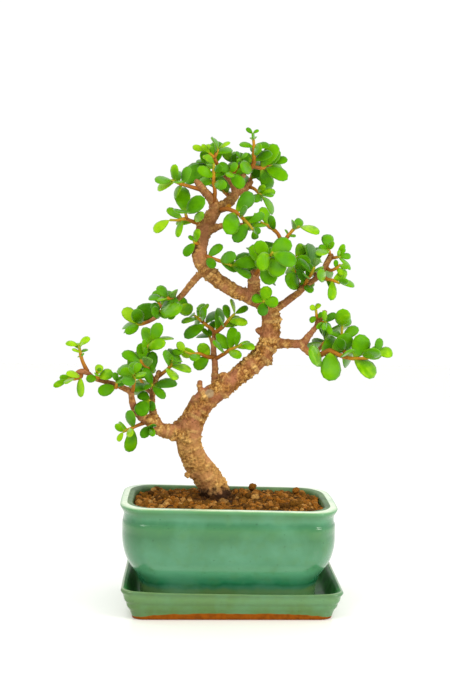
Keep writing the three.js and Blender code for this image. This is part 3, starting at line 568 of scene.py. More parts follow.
def leaned(points):
    """The hand-made unevenness: the right side drops and the short ends bow out, by
    amounts that grow with height, and the whole pot stands a little to the left."""
    moved = points.copy()
    x, y, rise = points[..., 0], points[..., 1], points[..., 2] - POT_FOOT
    bow = POT_END_BOW * (rise / POT_RIM) ** 4 * (1 - (y / POT_HALF_DEPTH) ** 2) * (x / POT_HALF_WIDTH) ** 2
    moved[..., 2] -= POT_RIM_DROP * x * rise / POT_RIM
    moved[..., 0] += POT_CENTRE + bow * np.sign(x)
    return moved


def pot_rings(rows, less=0.0):
    """Rings of the pot, from rows of height and half width. The half depth is the half
    width less a fixed amount, and the corners are wide on the belly, a little tighter at
    the lip, and reach further along the short sides."""
    rows = np.asarray(rows, dtype=float)
    corner = np.interp(rows[:, 0], POT_CORNER_HEIGHTS, POT_CORNER) - less
    rows = np.column_stack([rows, rows[:, 1] - POT_DEPTH_LESS])
    return dish_grid(rows, np.stack([corner, corner * POT_CORNER_DEPTH], axis=1), DISH_OUTLINE)

# %% Two bars that cut the drain holes
DRAIN_RADIUS, DRAIN_SPACING, DRAIN_SIDES, DRAIN_ENDS = 6, 52, 32, (2.0, 22.0)


def drain_bar(side):
    """A round bar through the pot's floor, to the left for -1 and to the right for 1, as
    a temporary object."""
    turn = np.linspace(0, 2 * np.pi, DRAIN_SIDES, endpoint=False)
    ring = np.stack([DRAIN_RADIUS * np.cos(turn), DRAIN_RADIUS * np.sin(turn)], axis=1)
    ring += [POT_CENTRE + side * DRAIN_SPACING / 2, 0]
    grid = np.stack([np.column_stack([ring, np.full(DRAIN_SIDES, height)]) for height in DRAIN_ENDS])
    points, faces = closed_skin(grid)
    bar = bpy.data.objects.new("drain_bar", make_mesh("drain_bar", points, faces))
    bpy.context.scene.collection.objects.link(bar)
    return bar


def without_bars(mesh, bars):
    """The mesh with the bars cut out of it by the Boolean modifier, applied at once."""
    body = bpy.data.objects.new("uncut", mesh)
    bpy.context.scene.collection.objects.link(body)
    for bar in bars:
        cut = body.modifiers.new("cut", "BOOLEAN")
        cut.operation = "DIFFERENCE"
        cut.solver = "EXACT"
        cut.object = bar
    view = bpy.context.evaluated_depsgraph_get()
    result = bpy.data.meshes.new_from_object(body.evaluated_get(view))
    for thing in (body, *bars):
        bpy.data.objects.remove(thing)
    return result

# %% The pot's skin, leaned, with its drain holes cut
POT_SWELL, POT_EVEN_BELOW = 0.35, 7

pot_profile = softened(POT_UNDERSIDE + POT_OUTSIDE + POT_INSIDE, CORNER_CUTS)
pot_grid = pot_rings(pot_profile)
pot_rise = pot_grid[..., 2].copy()
pot_points, pot_faces = closed_skin(pot_grid)
swell = POT_SWELL * lumps(pot_points, 38, 3)
pot_points[:, :2] *= 1 + (swell * (pot_points[:, 2] > POT_EVEN_BELOW) / UNEVEN_OVER)[:, None]
pot_points = leaned(pot_points)
pot_values = glaze_values(pot_profile, pot_rise, [POT_FOOT, POT_FLOOR])
pot_mesh = make_mesh("pot_glazed", pot_points, pot_faces, pot_values)
pot_mesh = without_bars(pot_mesh, [drain_bar(-1), drain_bar(1)])
pot_mesh.name = "pot_glazed"
place_piece("pot_glazed", pot_mesh, [pot_glaze], ["pot"])

# %% [markdown]
# ## The soil
#
# Bonsai soil is hard-fired clay, broken and sieved into rounded crumbs a few millimetres
# across. A smooth mound alone would look like chocolate, and a bump map would show its
# flatness at the low angle of the photograph, so the mound is covered with real crumbs:
# each is a rough ball of a few dozen faces, squashed and turned by its own seeded draws.

# %% The mound under the crumbs
GAP = 0.3
SOIL_FLOOR, SOIL_EDGE, SOIL_MOUND, SOIL_RINGS = 14.3, 71.0, 2.6, 14
SOIL_SIDES = [[SOIL_FLOOR, 56], [35, 64.5], [50, 67.4], [SOIL_EDGE, 66.6]]
SOIL_REACH = SOIL_SIDES[-1][1]


def soil_height(x, y):
    """A low mound: highest in the middle, level with its edge at the wall."""
    share = np.maximum(np.abs(x) / SOIL_REACH, np.abs(y) / (SOIL_REACH - POT_DEPTH_LESS))
    return SOIL_EDGE + SOIL_MOUND * (1 - share**2)


soil_sides = pot_rings([[z, half - GAP] for z, half in SOIL_SIDES], GAP)
shares = np.linspace(1, 0, SOIL_RINGS + 2)[1:-1]
soil_top = soil_sides[-1][None] * np.stack([shares, shares, np.ones(SOIL_RINGS)], axis=1)[:, None, :]
soil_top[..., 2] = soil_height(soil_top[..., 0], soil_top[..., 1])
soil_points, soil_faces = closed_skin(leaned(np.concatenate([soil_sides, soil_top])))
print("soil mound", len(soil_points), "points")

# %% Places for the crumbs, inside the pot's wall
CRUMBS = 1850
# How far the middles of crumbs, and all points of crumbs, stay off the soil's edge.
SPREAD_CLEAR, WALL_CLEAR = 1.2, 0.35
SPREAD_CORNER, WALL_CORNER = 15, 16
draws = np.random.default_rng(41)


def crumb_places(count):
    """Places spread over the mound inside the pot's wall: a jittered lattice, with its
    corners rounded off as the wall is."""
    reach = SOIL_REACH - SPREAD_CLEAR
    depth = reach - POT_DEPTH_LESS
    pitch = np.sqrt(4 * reach * depth / count)
    x, y = np.meshgrid(np.arange(-reach, reach, pitch), np.arange(-depth, depth, pitch))
    spots = np.column_stack([x.ravel(), y.ravel()]) + draws.uniform(-0.5, 0.5, (x.size, 2)) * pitch
    corner = np.array([SPREAD_CORNER, SPREAD_CORNER * POT_CORNER_DEPTH])
    over = np.maximum(np.abs(spots) - [reach, depth] + corner, 0) / corner
    return spots[np.hypot(*over.T) < 1]


def kept_inside(points):
    """Points that reach past the pot's inner wall are drawn back to it. In a corner, how
    far a point is past the corner's middle is measured in shares of the corner's reach,
    and a share over 1 is cut back to 1."""
    reach = SOIL_REACH - WALL_CLEAR
    corner = np.array([WALL_CORNER, WALL_CORNER * POT_CORNER_DEPTH])
    middle = np.array([reach, reach - POT_DEPTH_LESS]) - corner
    over = np.maximum(np.abs(points[:, :2]) - middle, 0) / corner
    share = np.maximum(np.hypot(*over.T), 1)[:, None]
    kept = np.minimum(np.abs(points[:, :2]), middle) + over / share * corner
    return np.column_stack([kept * np.sign(points[:, :2]), points[:, 2]])

# %% The shape of a crumb
CRUMB_RINGS, CRUMB_SIDES, CRUMB_ROUGH, CRUMB_SQUASH = 5, 8, 0.22, (0.72, 1.1)


def ball_grid(rings, sides):
    """The rings of a ball of radius 1, from the lowest to the highest: the radius of a
    ring is the sine, and its height minus the cosine, of its angle from straight down."""
    polar = np.pi * np.arange(1, rings + 1) / (rings + 1)
    turn = 2 * np.pi * np.arange(sides) / sides
    ring, side = np.meshgrid(polar, turn, indexing="ij")
    return np.stack([np.sin(ring) * np.cos(side), np.sin(ring) * np.sin(side), -np.cos(ring)], axis=2)


def crumb_skins(centres, sizes):
    """For each centre a ball of a few rings, pushed in and out by draws of its own,
    squashed along a random direction, and turned at random."""
    count = len(centres)
    ball = np.concatenate([ball_grid(CRUMB_RINGS, CRUMB_SIDES).reshape(-1, 3), [[0, 0, -1], [0, 0, 1]]])
    reach = 1 + CRUMB_ROUGH * draws.uniform(-1, 1, (count, len(ball), 1))
    squash = draws.uniform(*CRUMB_SQUASH, (count, 1, 3))
    shapes = ball * reach * squash * sizes[:, None, None]
    first = unit(draws.normal(size=(count, 3)))
    second = unit(np.cross(first, draws.normal(size=(count, 3))))
    turned = np.stack([first, second, np.cross(first, second)], axis=1)
    points = np.einsum("cpk,ckj->cpj", shapes, turned) + centres[:, None, :]
    quads, fans = skin_faces(CRUMB_RINGS, CRUMB_SIDES)
    start = (np.arange(count) * len(ball))[:, None, None]
    return points.reshape(-1, 3), ((quads + start).reshape(-1, 4), (fans + start).reshape(-1, 3))

# %% Lay the crumbs on the mound
# A crumb's least and greatest size, and how far it is sunk or raised, in its own sizes.
CRUMB_SMALLEST, CRUMB_LARGEST, CRUMB_SUNK, CRUMB_RAISED, TOP_UNEVEN = 1.2, 3.2, -0.25, 0.6, 0.9
# A heap behind the trunk and a hollow round its foot: place, reach and height.
HEAP = ([18, 20], [30, 20], 2.2)
HOLLOW = ([-7, -3], [17, 10], -2.4)
# A few large crumbs that lie on top: place and size.
LARGE_CRUMBS = np.array([
    [19.0, 30.0, 79.4, 3.4], [46.0, -20.0, 75.9, 3.2], [-56.0, 18.0, 73.9, 3.0],
    [51.0, 30.0, 77.2, 3.4], [40.0, -28.0, 75.4, 3.3], [-36.0, -30.0, 74.1, 3.2],
])
# A crumb's tone is drawn for the most part, and paler the higher it lies: painted light on
# raised crumbs and painted shade on sunk ones. The mound, seen only in the gaps between
# the crumbs, is dark as painted shade.
DRAWN_TONE, RAISED_LIGHT_TONE, GAP_SHADE_TONE = 0.65, 0.35, 0.1


def bell(spots, place, reach, height):
    """A soft rise or dip about a place: e to the minus square of the distance, counted
    in reaches."""
    return height * np.exp(-(((spots - place) / reach) ** 2).sum(axis=1))


spots = crumb_places(CRUMBS)
crumb_size = CRUMB_SMALLEST + (CRUMB_LARGEST - CRUMB_SMALLEST) * draws.uniform(size=len(spots)) ** 2
crumb_base = soil_height(spots[:, 0], spots[:, 1])
crumb_rise = draws.uniform(CRUMB_SUNK, CRUMB_RAISED, len(spots))
crumb_lift = crumb_size * crumb_rise + TOP_UNEVEN * lumps(np.column_stack([spots, crumb_base]), 11, 5)
crumb_height = crumb_base + crumb_lift + bell(spots, *HEAP) + bell(spots, *HOLLOW)
centres = np.concatenate([np.column_stack([spots, crumb_height]), LARGE_CRUMBS[:, :3]])
crumb_size = np.concatenate([crumb_size, LARGE_CRUMBS[:, 3]])
crumb_points, crumb_faces = crumb_skins(centres, crumb_size)
crumb_points = leaned(kept_inside(crumb_points))
raised = np.append(np.clip(crumb_rise + 0.4, 0, 1), np.full(len(LARGE_CRUMBS), 0.5))
# Painted light and shade: raised crumbs are paler, sunk ones darker.
crumb_tone = DRAWN_TONE * draws.uniform(size=len(centres)) + RAISED_LIGHT_TONE * raised
crumb_tone = np.repeat(crumb_tone, len(crumb_points) // len(centres))
all_points, all_faces = merge_skins([(soil_points, soil_faces), (crumb_points, crumb_faces)])
# Painted shade: the mound between the crumbs takes a dark tone.
tone = np.concatenate([np.full(len(soil_points), GAP_SHADE_TONE), crumb_tone])
soil_mesh = make_mesh("soil_crumbs", all_points, all_faces, {"crumb": tone})
print(len(centres), "crumbs")

# %% Fired clay, a little different from crumb to crumb, damp round the trunk
TRUNK_FOOT, DAMP_FROM, DAMP_TO = (-10, 4, 75), 10, 21


def soil_material():
    """Brown to ochre by the crumb's tone: its own draw, with painted light on raised crumbs
    and painted shade on sunk ones and on the mound; darker near the wet foot of the trunk.
    """
    material, add = new_material("fired_clay_crumbs")
    colour = ramp(add, carried(add, "crumb"), [
        (0.0, linear(34, 20, 3)), (0.25, linear(84, 52, 8)), (0.5, linear(130, 86, 20)),
        (0.75, linear(172, 106, 28)), (1.0, linear(212, 164, 90)),
    ])
    grit = noise(add, 0.9, 4.0, 0.7)
    colour = mixed(add, stretched(add, grit, 0.38, 0.66, 0.75, 0), colour, linear(44, 24, 4))
    damp = stretched(add, distance_from(add, TRUNK_FOOT), DAMP_FROM * MM, DAMP_TO * MM, 0.8, 0)
    colour = mixed(add, damp, colour, linear(44, 22, 8))
    finish_material(add, colour, 0.93, 0.12, bumped(add, grit, 0.9, 0.5))
    return material


place_piece("soil_crumbs", soil_mesh, [soil_material()], ["soil"])

# %% [markdown]
# ## The wood
#
# The trunk winds up from the left of the pot, swings to the right and back again, and
# forks into arms. Its thickness changes all along, so each limb is a tube round a smooth
# path with a radius of its own at each point. The tubes start inside the limb below and
# simply overlap. A voxel remesh then turns them into one skin, with the soft collars that
# grow round real branches, and numpy pushes that skin in and out for the bark: broad
# swellings, fine flakes, and the raised rings where old pairs of leaves once sat.

# %% The limbs: x, y, z and radius along each, from its root inside the limb below
WOOD = {
    "trunk": [
        [-5, 14, 59, 8.8], [-11, 13, 78, 10.4], [-19, 10, 92, 9.6], [-28, 6, 106, 9.4],
        [-31, 2, 119, 9], [-28, -1, 132, 9], [-20, -3, 146, 8.4], [-3, -2, 159, 7], [14, 2, 172, 7],
        [25, 5, 185, 7.1], [28, 4, 202, 6.7], [25, 2, 215, 6.3], [13, -2, 221, 5.4], [-1, -5, 227, 5],
        [-14, -7, 236, 5.2], [-23, -6, 247, 5.5], [-23, -2, 259, 5], [-20, 2, 272, 5.8],
        [-11, 4, 286, 4.3],
    ],
    "left_branch": [
        [-31, 0, 122, 7.2], [-39, -2, 123, 6.1], [-46, -5, 125, 5.4], [-52, -8, 127, 4.8],
        [-58, -11, 132, 4.1], [-64, -14, 136, 3.4], [-69, -16, 142, 2.8], [-71, -18, 148, 2.5],
        [-72, -19, 154, 2.3], [-77, -20, 157, 2.1], [-84, -21, 160, 1.9], [-91, -22, 162, 1.8],
        [-97, -23, 164, 1.6], [-102, -24, 168, 1.9], [-106, -25, 169, 2.1], [-110, -26, 168, 1.2],
    ],
    "left_riser": [
        [-53, -9, 130, 3.9], [-56, -8, 137, 3], [-57, -7, 144, 2.3], [-57, -6, 152, 2.3],
        [-56, -5, 159, 2.1], [-54, -5, 163, 2], [-52, -5, 168, 1.8],
    ],
    "upper_left_branch": [
        [-18, -6, 241, 3.2], [-25, -3, 236, 2.7], [-30, 1, 230, 2.3], [-35, 5, 224, 2.2],
        [-41, 9, 218, 1.9], [-48, 13, 212, 1.7], [-55, 16, 206, 1.5], [-60, 18, 203, 1.4],
    ],
    "mid_riser": [
        [-11, -1, 153, 3.6], [-12, 4, 161, 2.7], [-12, 9, 171, 2.4], [-13, 13, 181, 2.2],
        [-13, 16, 191, 2],
    ],
    "trunk_stub": [
        [-21, -4, 151, 2.9], [-23, -6, 157, 2.1], [-23, -7, 161, 2.2],
    ],
    "right_upper_branch": [
        [26, 3, 211, 5.1], [32, 0, 214, 3.2], [37, -3, 217, 2.7], [42, -6, 221, 2.7],
        [47, -9, 225, 2.5], [51, -11, 229, 2.3], [56, -13, 233, 2.1], [60, -14, 236, 2],
        [64, -15, 241, 2], [67, -15, 247, 2.3], [70, -15, 252, 2.1],
    ],
    "centre_stub": [
        [18, 0, 217, 5], [16, -3, 225, 4.7], [15, -6, 232, 4.5], [15, -8, 237, 3.4],
        [15, -9, 241, 1.8],
    ],
    "centre_hidden": [
        [15, -6, 234, 1.8], [22, -4, 243, 1.6], [29, -4, 252, 1.4], [35, -6, 261, 1.3],
    ],
    "right_lower_branch": [
        [26, 5, 187, 5.1], [33, 2, 188, 3.8], [40, -1, 188, 3.2], [47, -4, 188, 3.2],
        [51, -6, 189, 3.2], [54, -7, 193, 2.7], [57, -8, 197, 2.1], [60, -9, 201, 2],
        [62, -10, 206, 2.4], [65, -10, 209, 2.5], [66, -10, 212, 1.9],
    ],
    "right_lower_twig": [
        [49, -5, 188, 2.9], [53, -8, 184, 2.3], [56, -10, 181, 2], [61, -12, 180, 1.6],
    ],
    "side_branch": [
        [-21, 1, 268, 4], [-14, -2, 270, 2.7], [-9, -5, 272, 2.1], [-2, -8, 272, 1.8],
        [7, -11, 273, 1.6],
    ],
    "left_arm": [
        [-12, 4, 284, 4.7], [-15, 1, 291, 3.6], [-19, -2, 295, 3.2], [-22, -5, 298, 2.9],
        [-25, -7, 302, 2.5], [-27, -8, 304, 1.8],
    ],
    "right_arm": [
        [-10, 5, 285, 4.3], [-4, 8, 289, 3.8], [0, 11, 293, 3.6], [3, 14, 297, 3.2], [8, 17, 299, 2.7],
        [12, 20, 303, 2.4], [14, 22, 306, 2.1],
    ],
    "crown_twig": [
        [2, 12, 296, 2.4], [-1, 6, 304, 2], [-6, 2, 309, 1.9], [-10, -1, 314, 1.8],
    ],
    "crown_riser": [
        [5, 15, 298, 2.2], [6, 14, 306, 1.9], [10, 12, 313, 1.8],
    ],
}

# Old pruning knobs and swellings: x, y, z and radius.
KNOBS = np.array([
    [-6, -5, 164, 3.6], [26, 1, 176, 3.6], [-27, 5, 92, 3.4], [-39, 1, 129, 3.4], [20, 5, 197, 3.2],
    [-27, -1, 263, 2.8], [-31.6, 3, 91.7, 2.2],
])
print(len(WOOD), "limbs and", len(KNOBS), "knobs")

# %% A tube along each limb, and a ball for each knob


def smooth_path(rows, steps):
    """A smooth line through rows of numbers: between two rows, each number follows the
    cubic whose slope at a row is half the difference of that row's two neighbours."""
    rows = np.asarray(rows, dtype=float)
    padded = np.concatenate([[2 * rows[0] - rows[1]], rows, [2 * rows[-1] - rows[-2]]])
    before, start, end, after = padded[:-3], padded[1:-2], padded[2:-1], padded[3:]
    t = (np.arange(steps) / steps)[None, :, None]
    slope_in, slope_out = (end - before) / 2, (after - start) / 2
    curve = ((2 * t**3 - 3 * t**2 + 1) * start[:, None] + (t**3 - 2 * t**2 + t) * slope_in[:, None]
             + (3 * t**2 - 2 * t**3) * end[:, None] + (t**3 - t**2) * slope_out[:, None])
    return np.concatenate([curve.reshape(-1, rows.shape[1]), rows[-1:]])


def tube_skin(path, radii, sides, start_reach=0.4, end_reach=0.6):
    """Rings of points round a path: two directions square to the path carry a circle of
    the radius given for each point. Each end is closed by a blunt tip, whose reach is
    counted in the radius there."""
    heading = unit(np.gradient(path, axis=0))
    least = np.argmin(np.abs(heading).mean(axis=0))
    fixed = np.eye(3)[least]
    across = unit(fixed - heading * (heading @ fixed)[:, None])
    aside = np.cross(heading, across)
    turn = 2 * np.pi * np.arange(sides) / sides
    grid = path[:, None] + radii[:, None, None] * (
        across[:, None] * np.cos(turn)[:, None] + aside[:, None] * np.sin(turn)[:, None])
    start = path[0] - heading[0] * start_reach * radii[0]
    end = path[-1] + heading[-1] * end_reach * radii[-1]
    return closed_skin(grid, start, end)


def ball_skin(centre, radius, rings=7, sides=12):
    """A round ball about a centre."""
    pole = np.array([0, 0, radius])
    return closed_skin(centre + radius * ball_grid(rings, sides), centre - pole, centre + pole)


PATH_STEPS, LIMB_SIDES = 6, 16
limb_paths = [smooth_path(rows, PATH_STEPS) for rows in WOOD.values()]
wood_skins = [tube_skin(path[:, :3], path[:, 3], LIMB_SIDES) for path in limb_paths]
wood_skins += [ball_skin(knob[:3], knob[3]) for knob in KNOBS]
wood_mesh = make_mesh("bark_wood", *merge_skins(wood_skins))
print(len(limb_paths), "limbs,", len(wood_mesh.polygons), "faces before they are joined")

# %% One skin over all the limbs
VOXEL = 0.62


def joined_skin(mesh, voxel):
    """The mesh made again as one skin of small squares, by a voxel remesh and a light
    smoothing, applied at once."""
    body = bpy.data.objects.new("unjoined", mesh)
    bpy.context.scene.collection.objects.link(body)
    remesh = body.modifiers.new("join", "REMESH")
    remesh.mode = "VOXEL"
    remesh.voxel_size = voxel * MM
    smooth = body.modifiers.new("soften", "SMOOTH")
    smooth.factor = 0.5
    smooth.iterations = 3
    view = bpy.context.evaluated_depsgraph_get()
    result = bpy.data.meshes.new_from_object(body.evaluated_get(view))
    bpy.data.objects.remove(body)
    return result


def mesh_arrays(mesh):
    """Its points and their outward directions, in millimetres."""
    points = np.empty(len(mesh.vertices) * 3, dtype=np.float32)
    mesh.vertices.foreach_get("co", points)
    outward = np.empty(len(mesh.vertices) * 3, dtype=np.float32)
    mesh.vertices.foreach_get("normal", outward)
    return points.reshape(-1, 3).astype(float) / MM, outward.reshape(-1, 3).astype(float)


wood_mesh = joined_skin(wood_mesh, VOXEL)
wood_points, wood_outward = mesh_arrays(wood_mesh)
print("joined wood:", len(wood_points), "points")

# %% Bark: what its relief is made of
# How far each kind of relief stands out or sinks in, in millimetres on a thick limb.
SWELLING, PLATE_STEP, CHIP_STEP, CRACK_DEPTH, BURR_HEIGHT, GRIT = 0.5, 0.85, 0.5, 0.4, 1.7, 0.25
RING_HEIGHT, RING_HEIGHT_THICK = 0.25, 0.35
# The millimetres between two rings, and how many more for each millimetre of radius. The
# rest are shares: how far a ring waves and reaches, how much of it shows, and how much
# that changes.
RING_SPACING, RING_SPACING_THICK = 4.2, 0.55
RING_WAVE, RING_REACH, RING_SHOWN, RING_FADING = 0.3, 0.16, 0.45, 1.1


def nearest_on_limbs(points, paths):
    """For each point: how far along its nearest limb it lies, and that limb's radius
    there. Nearest means deepest inside, so distance less radius is compared."""
    samples = np.concatenate(paths)
    along = np.concatenate([
        np.concatenate([[0], np.cumsum(np.linalg.norm(np.diff(path[:, :3], axis=0), axis=1))])
        for path in paths])
    nearest = np.empty(len(points), dtype=int)
    for low in range(0, len(points), 4000):
        part = points[low:low + 4000]
        distance = np.linalg.norm(part[:, None] - samples[None, :, :3], axis=2) - samples[None, :, 3]
        nearest[low:low + 4000] = np.argmin(distance, axis=1)
    return along[nearest], samples[nearest, 3]


def ring_scars(along, radius, points):
    """A narrow raised ring every few millimetres along a limb, waved by noise and fading
    out here and there: one minus the squared distance from the ring's middle, kept above
    zero, times a slow noise."""
    spacing = RING_SPACING + RING_SPACING_THICK * radius
    phase = along / spacing + RING_WAVE * lumps(points, 7, 6)
    off_middle = np.abs(phase - np.floor(phase) - 0.5)
    fading = np.clip(RING_SHOWN + RING_FADING * lumps(points, 8, 12), 0, 1)
    return np.maximum(0, 1 - (off_middle / RING_REACH) ** 2) * fading


def plates(points, size, seed):
    """Flaking plates. Each cube of a lattice holds one seed at a place of its own, and a
    point belongs to the nearest seed. It gets that seed's own random height, from 0 to 1,
    and the crack: how much nearer this seed is than the second nearest."""
    place = points / size
    cell = np.floor(place)
    nearest = np.full(len(points), 9.0)
    second = nearest.copy()
    height = np.zeros(len(points))
    for shift in itertools.product((-1.0, 0.0, 1.0), repeat=3):
        corner = cell + np.array(shift)
        offset = np.stack([random_heights(corner + seed + axis * 7.7) for axis in range(3)], axis=1)
        distance = np.linalg.norm(place - corner - 0.5 - 0.42 * offset, axis=1)
        closer = distance < nearest
        second = np.where(closer, nearest, np.minimum(second, distance))
        height = np.where(closer, random_heights(corner + seed + 31.3) / 2 + 0.5, height)
        nearest = np.where(closer, distance, nearest)
    return height, second - nearest

# %% Bark: push the skin out and in by swellings, flaking plates and ring scars
PLATE_SIZE, CHIP_SIZE, BURR_SIZE, GRIT_SIZE = 2.7, 1.35, 1.9, 1.3
# Noise shifts the plates' lattice by up to PLATE_WARP, so that no plate has straight
# sides. A crack is CRACK_WIDTH wide, in sizes of a plate.
PLATE_WARP, CRACK_WIDTH, BURR_FROM = 1.1, 0.22, 0.35
# The share of the bark that flakes, how much that changes from place to place, and how
# much more flakes at a ring.
FLAKING, FLAKING_CHANGE, FLAKING_AT_RINGS = 0.46, 1.3, 0.7
# A limb of this radius still has thin bark, and one that is that much thicker has the
# whole relief. The thinnest keep a share of it.
THIN_LIMB, THICKER, THIN_RELIEF = 1.5, 5, 0.3
# The same for the colour of young and old bark.
YOUNG_LIMB, OLDER = 1.8, 3.0
PLATE_TONE, CHIP_TONE = 0.65, 0.35

limb_along, limb_radius = nearest_on_limbs(wood_points, limb_paths)
thickness = np.clip((limb_radius - THIN_LIMB) / THICKER, 0, 1)
rings = ring_scars(limb_along, limb_radius, wood_points)
swelling = lumps(wood_points, 8, 7)
flaking = np.clip(
    FLAKING + FLAKING_CHANGE * lumps(wood_points, 6.5, 13) + FLAKING_AT_RINGS * rings, 0, 1)
warp = np.stack([lumps(wood_points, 2.6, seed) for seed in (21, 22, 23)], axis=1)
warped = wood_points + PLATE_WARP * warp
plate, crack = plates(warped, PLATE_SIZE, 3.1)
chip, _ = plates(warped, CHIP_SIZE, 9.4)
grit = lumps(wood_points, GRIT_SIZE, 9)
open_crack = np.clip(1 - crack / CRACK_WIDTH, 0, 1) * flaking
burrs = np.clip(lumps(warped, BURR_SIZE, 33) - BURR_FROM, 0, 1) * flaking
relief = (thickness + THIN_RELIEF) * (
    SWELLING * swelling + flaking * (PLATE_STEP * (plate - 0.5) + CHIP_STEP * (chip - 0.5))
    - CRACK_DEPTH * open_crack + BURR_HEIGHT * burrs + GRIT * grit)
relief += rings * (RING_HEIGHT + RING_HEIGHT_THICK * thickness)
wood_points += wood_outward * relief[:, None]
wood_mesh.vertices.foreach_set("co", (wood_points * MM).astype(np.float32).ravel())
bark_values = {
    "youth": 1 - np.clip((limb_radius - YOUNG_LIMB) / OLDER, 0, 1), "ring": rings, "flaking": flaking,
    "plate": PLATE_TONE * plate + CHIP_TONE * chip, "crack": open_crack,
}
for label, numbers in bark_values.items():
    wood_mesh.attributes.new(label, "FLOAT", "POINT").data.foreach_set("value", numbers.astype(np.float32))
wood_mesh.polygons.foreach_set("use_smooth", np.ones(len(wood_mesh.polygons), dtype=bool))
wood_mesh.update()
print("bark relief from", round(relief.min(), 2), "to", round(relief.max(), 2), "mm")

# %% Bark: smooth and pinkish in patches, flaking gold between them, wet at the soil
# Two pruning cuts, an old grey one and a fresh yellow one: place, radius and colour.
CUTS = [((-16.0, -9.5, 152.6), 3.2, (146, 126, 96)), ((-2.8, 4.6, 285.6), 2.8, (216, 150, 30))]


def bark_material():
    """Pinkish brown bark under flaking plates of gold to brown, each in its own tone,
    with painted shade in the cracks, painted light that pales the low trunk, cream ring
    scars, two healed cuts and a dark wet foot."""
    material, add = new_material("bark")
    place = add("ShaderNodeTexCoord").outputs["Object"]
    youth, ring, flaking, plate, crack = (carried(add, label) for label in bark_values)
    fine = noise(add, 1.5, 5.0, 0.75)
    patch = noise(add, 9, 3.0, 0.6)
    smooth = mixed(add, stretched(add, patch, 0.35, 0.65), linear(166, 108, 76), linear(138, 86, 54))
    tone = maths(add, "ADD", plate, stretched(add, fine, 0.3, 0.7, -0.25, 0.25))
    flakes = ramp(add, tone, [
        (0.0, linear(84, 48, 16)), (0.3, linear(138, 88, 36)), (0.6, linear(178, 128, 60)),
        (1.0, linear(226, 182, 104)),
    ])
    colour = mixed(add, flaking, smooth, flakes)
    colour = mixed(add, stretched(add, fine, 0.5, 0.33, 0, 0.7), colour, linear(76, 42, 14))
    colour = mixed(add, maths(add, "MULTIPLY", ring, 0.6), colour, linear(222, 182, 114))
    # Painted shade: the open cracks are darkened.
    colour = mixed(add, maths(add, "MULTIPLY", crack, 0.6), colour, linear(72, 42, 18))
    colour = mixed(add, maths(add, "MULTIPLY", youth, 0.45), colour, linear(150, 100, 58))
    height = add("ShaderNodeSeparateXYZ", Vector=place).outputs["Z"]
    colour = mixed(add, stretched(add, height, 0.205, 0.235, 0, 0.35), colour, linear(146, 106, 62))
    # Painted light: below about 135 mm the bark is paler, where the light falls strongly on the low trunk.
    colour = mixed(add, stretched(add, height, 0.135, 0.115, 0, 0.3), colour, linear(222, 172, 100))
    blotch = noise(add, 5, 4.0, 0.6)
    colour = mixed(add, stretched(add, blotch, 0.52, 0.66, 0, 0.55), colour, linear(112, 66, 22))
    for centre, radius, tint in CUTS:
        near = stretched(add, distance_from(add, centre), (radius + 0.6) * MM, (radius - 0.6) * MM, 0, 0.85)
        colour = mixed(add, near, colour, linear(*tint))
    wet = maths(add, "ADD", height, stretched(add, noise(add, 4, 3.0), 0.3, 0.7, -0.004, 0.004))
    colour = mixed(add, stretched(add, wet, 0.084, 0.079, 0, 0.95), colour, linear(38, 18, 8))
    finish_material(add, colour, 0.75, 0.1, bumped(add, fine, 0.8, 0.35))
    return material


place_piece("bark_wood", wood_mesh, [bark_material()], ["trunk"])

# %% [markdown]
# ## The leafy sprays
#
# Each side shoot is a green or reddish stem with pairs of opposite leaves, and each pair
# stands a quarter turn on from the pair below it. Copying leaves by hand would never end,
# and scattering them at random would lose the pairs, so a short rule grows every twig:
# where its first pair stands, how many leaves there are, how far they lean out and how
# long they are, with small seeded draws for the rest. The rule and its draws are those of
# the solids, so each finer leaf lies in the place of its solid one.

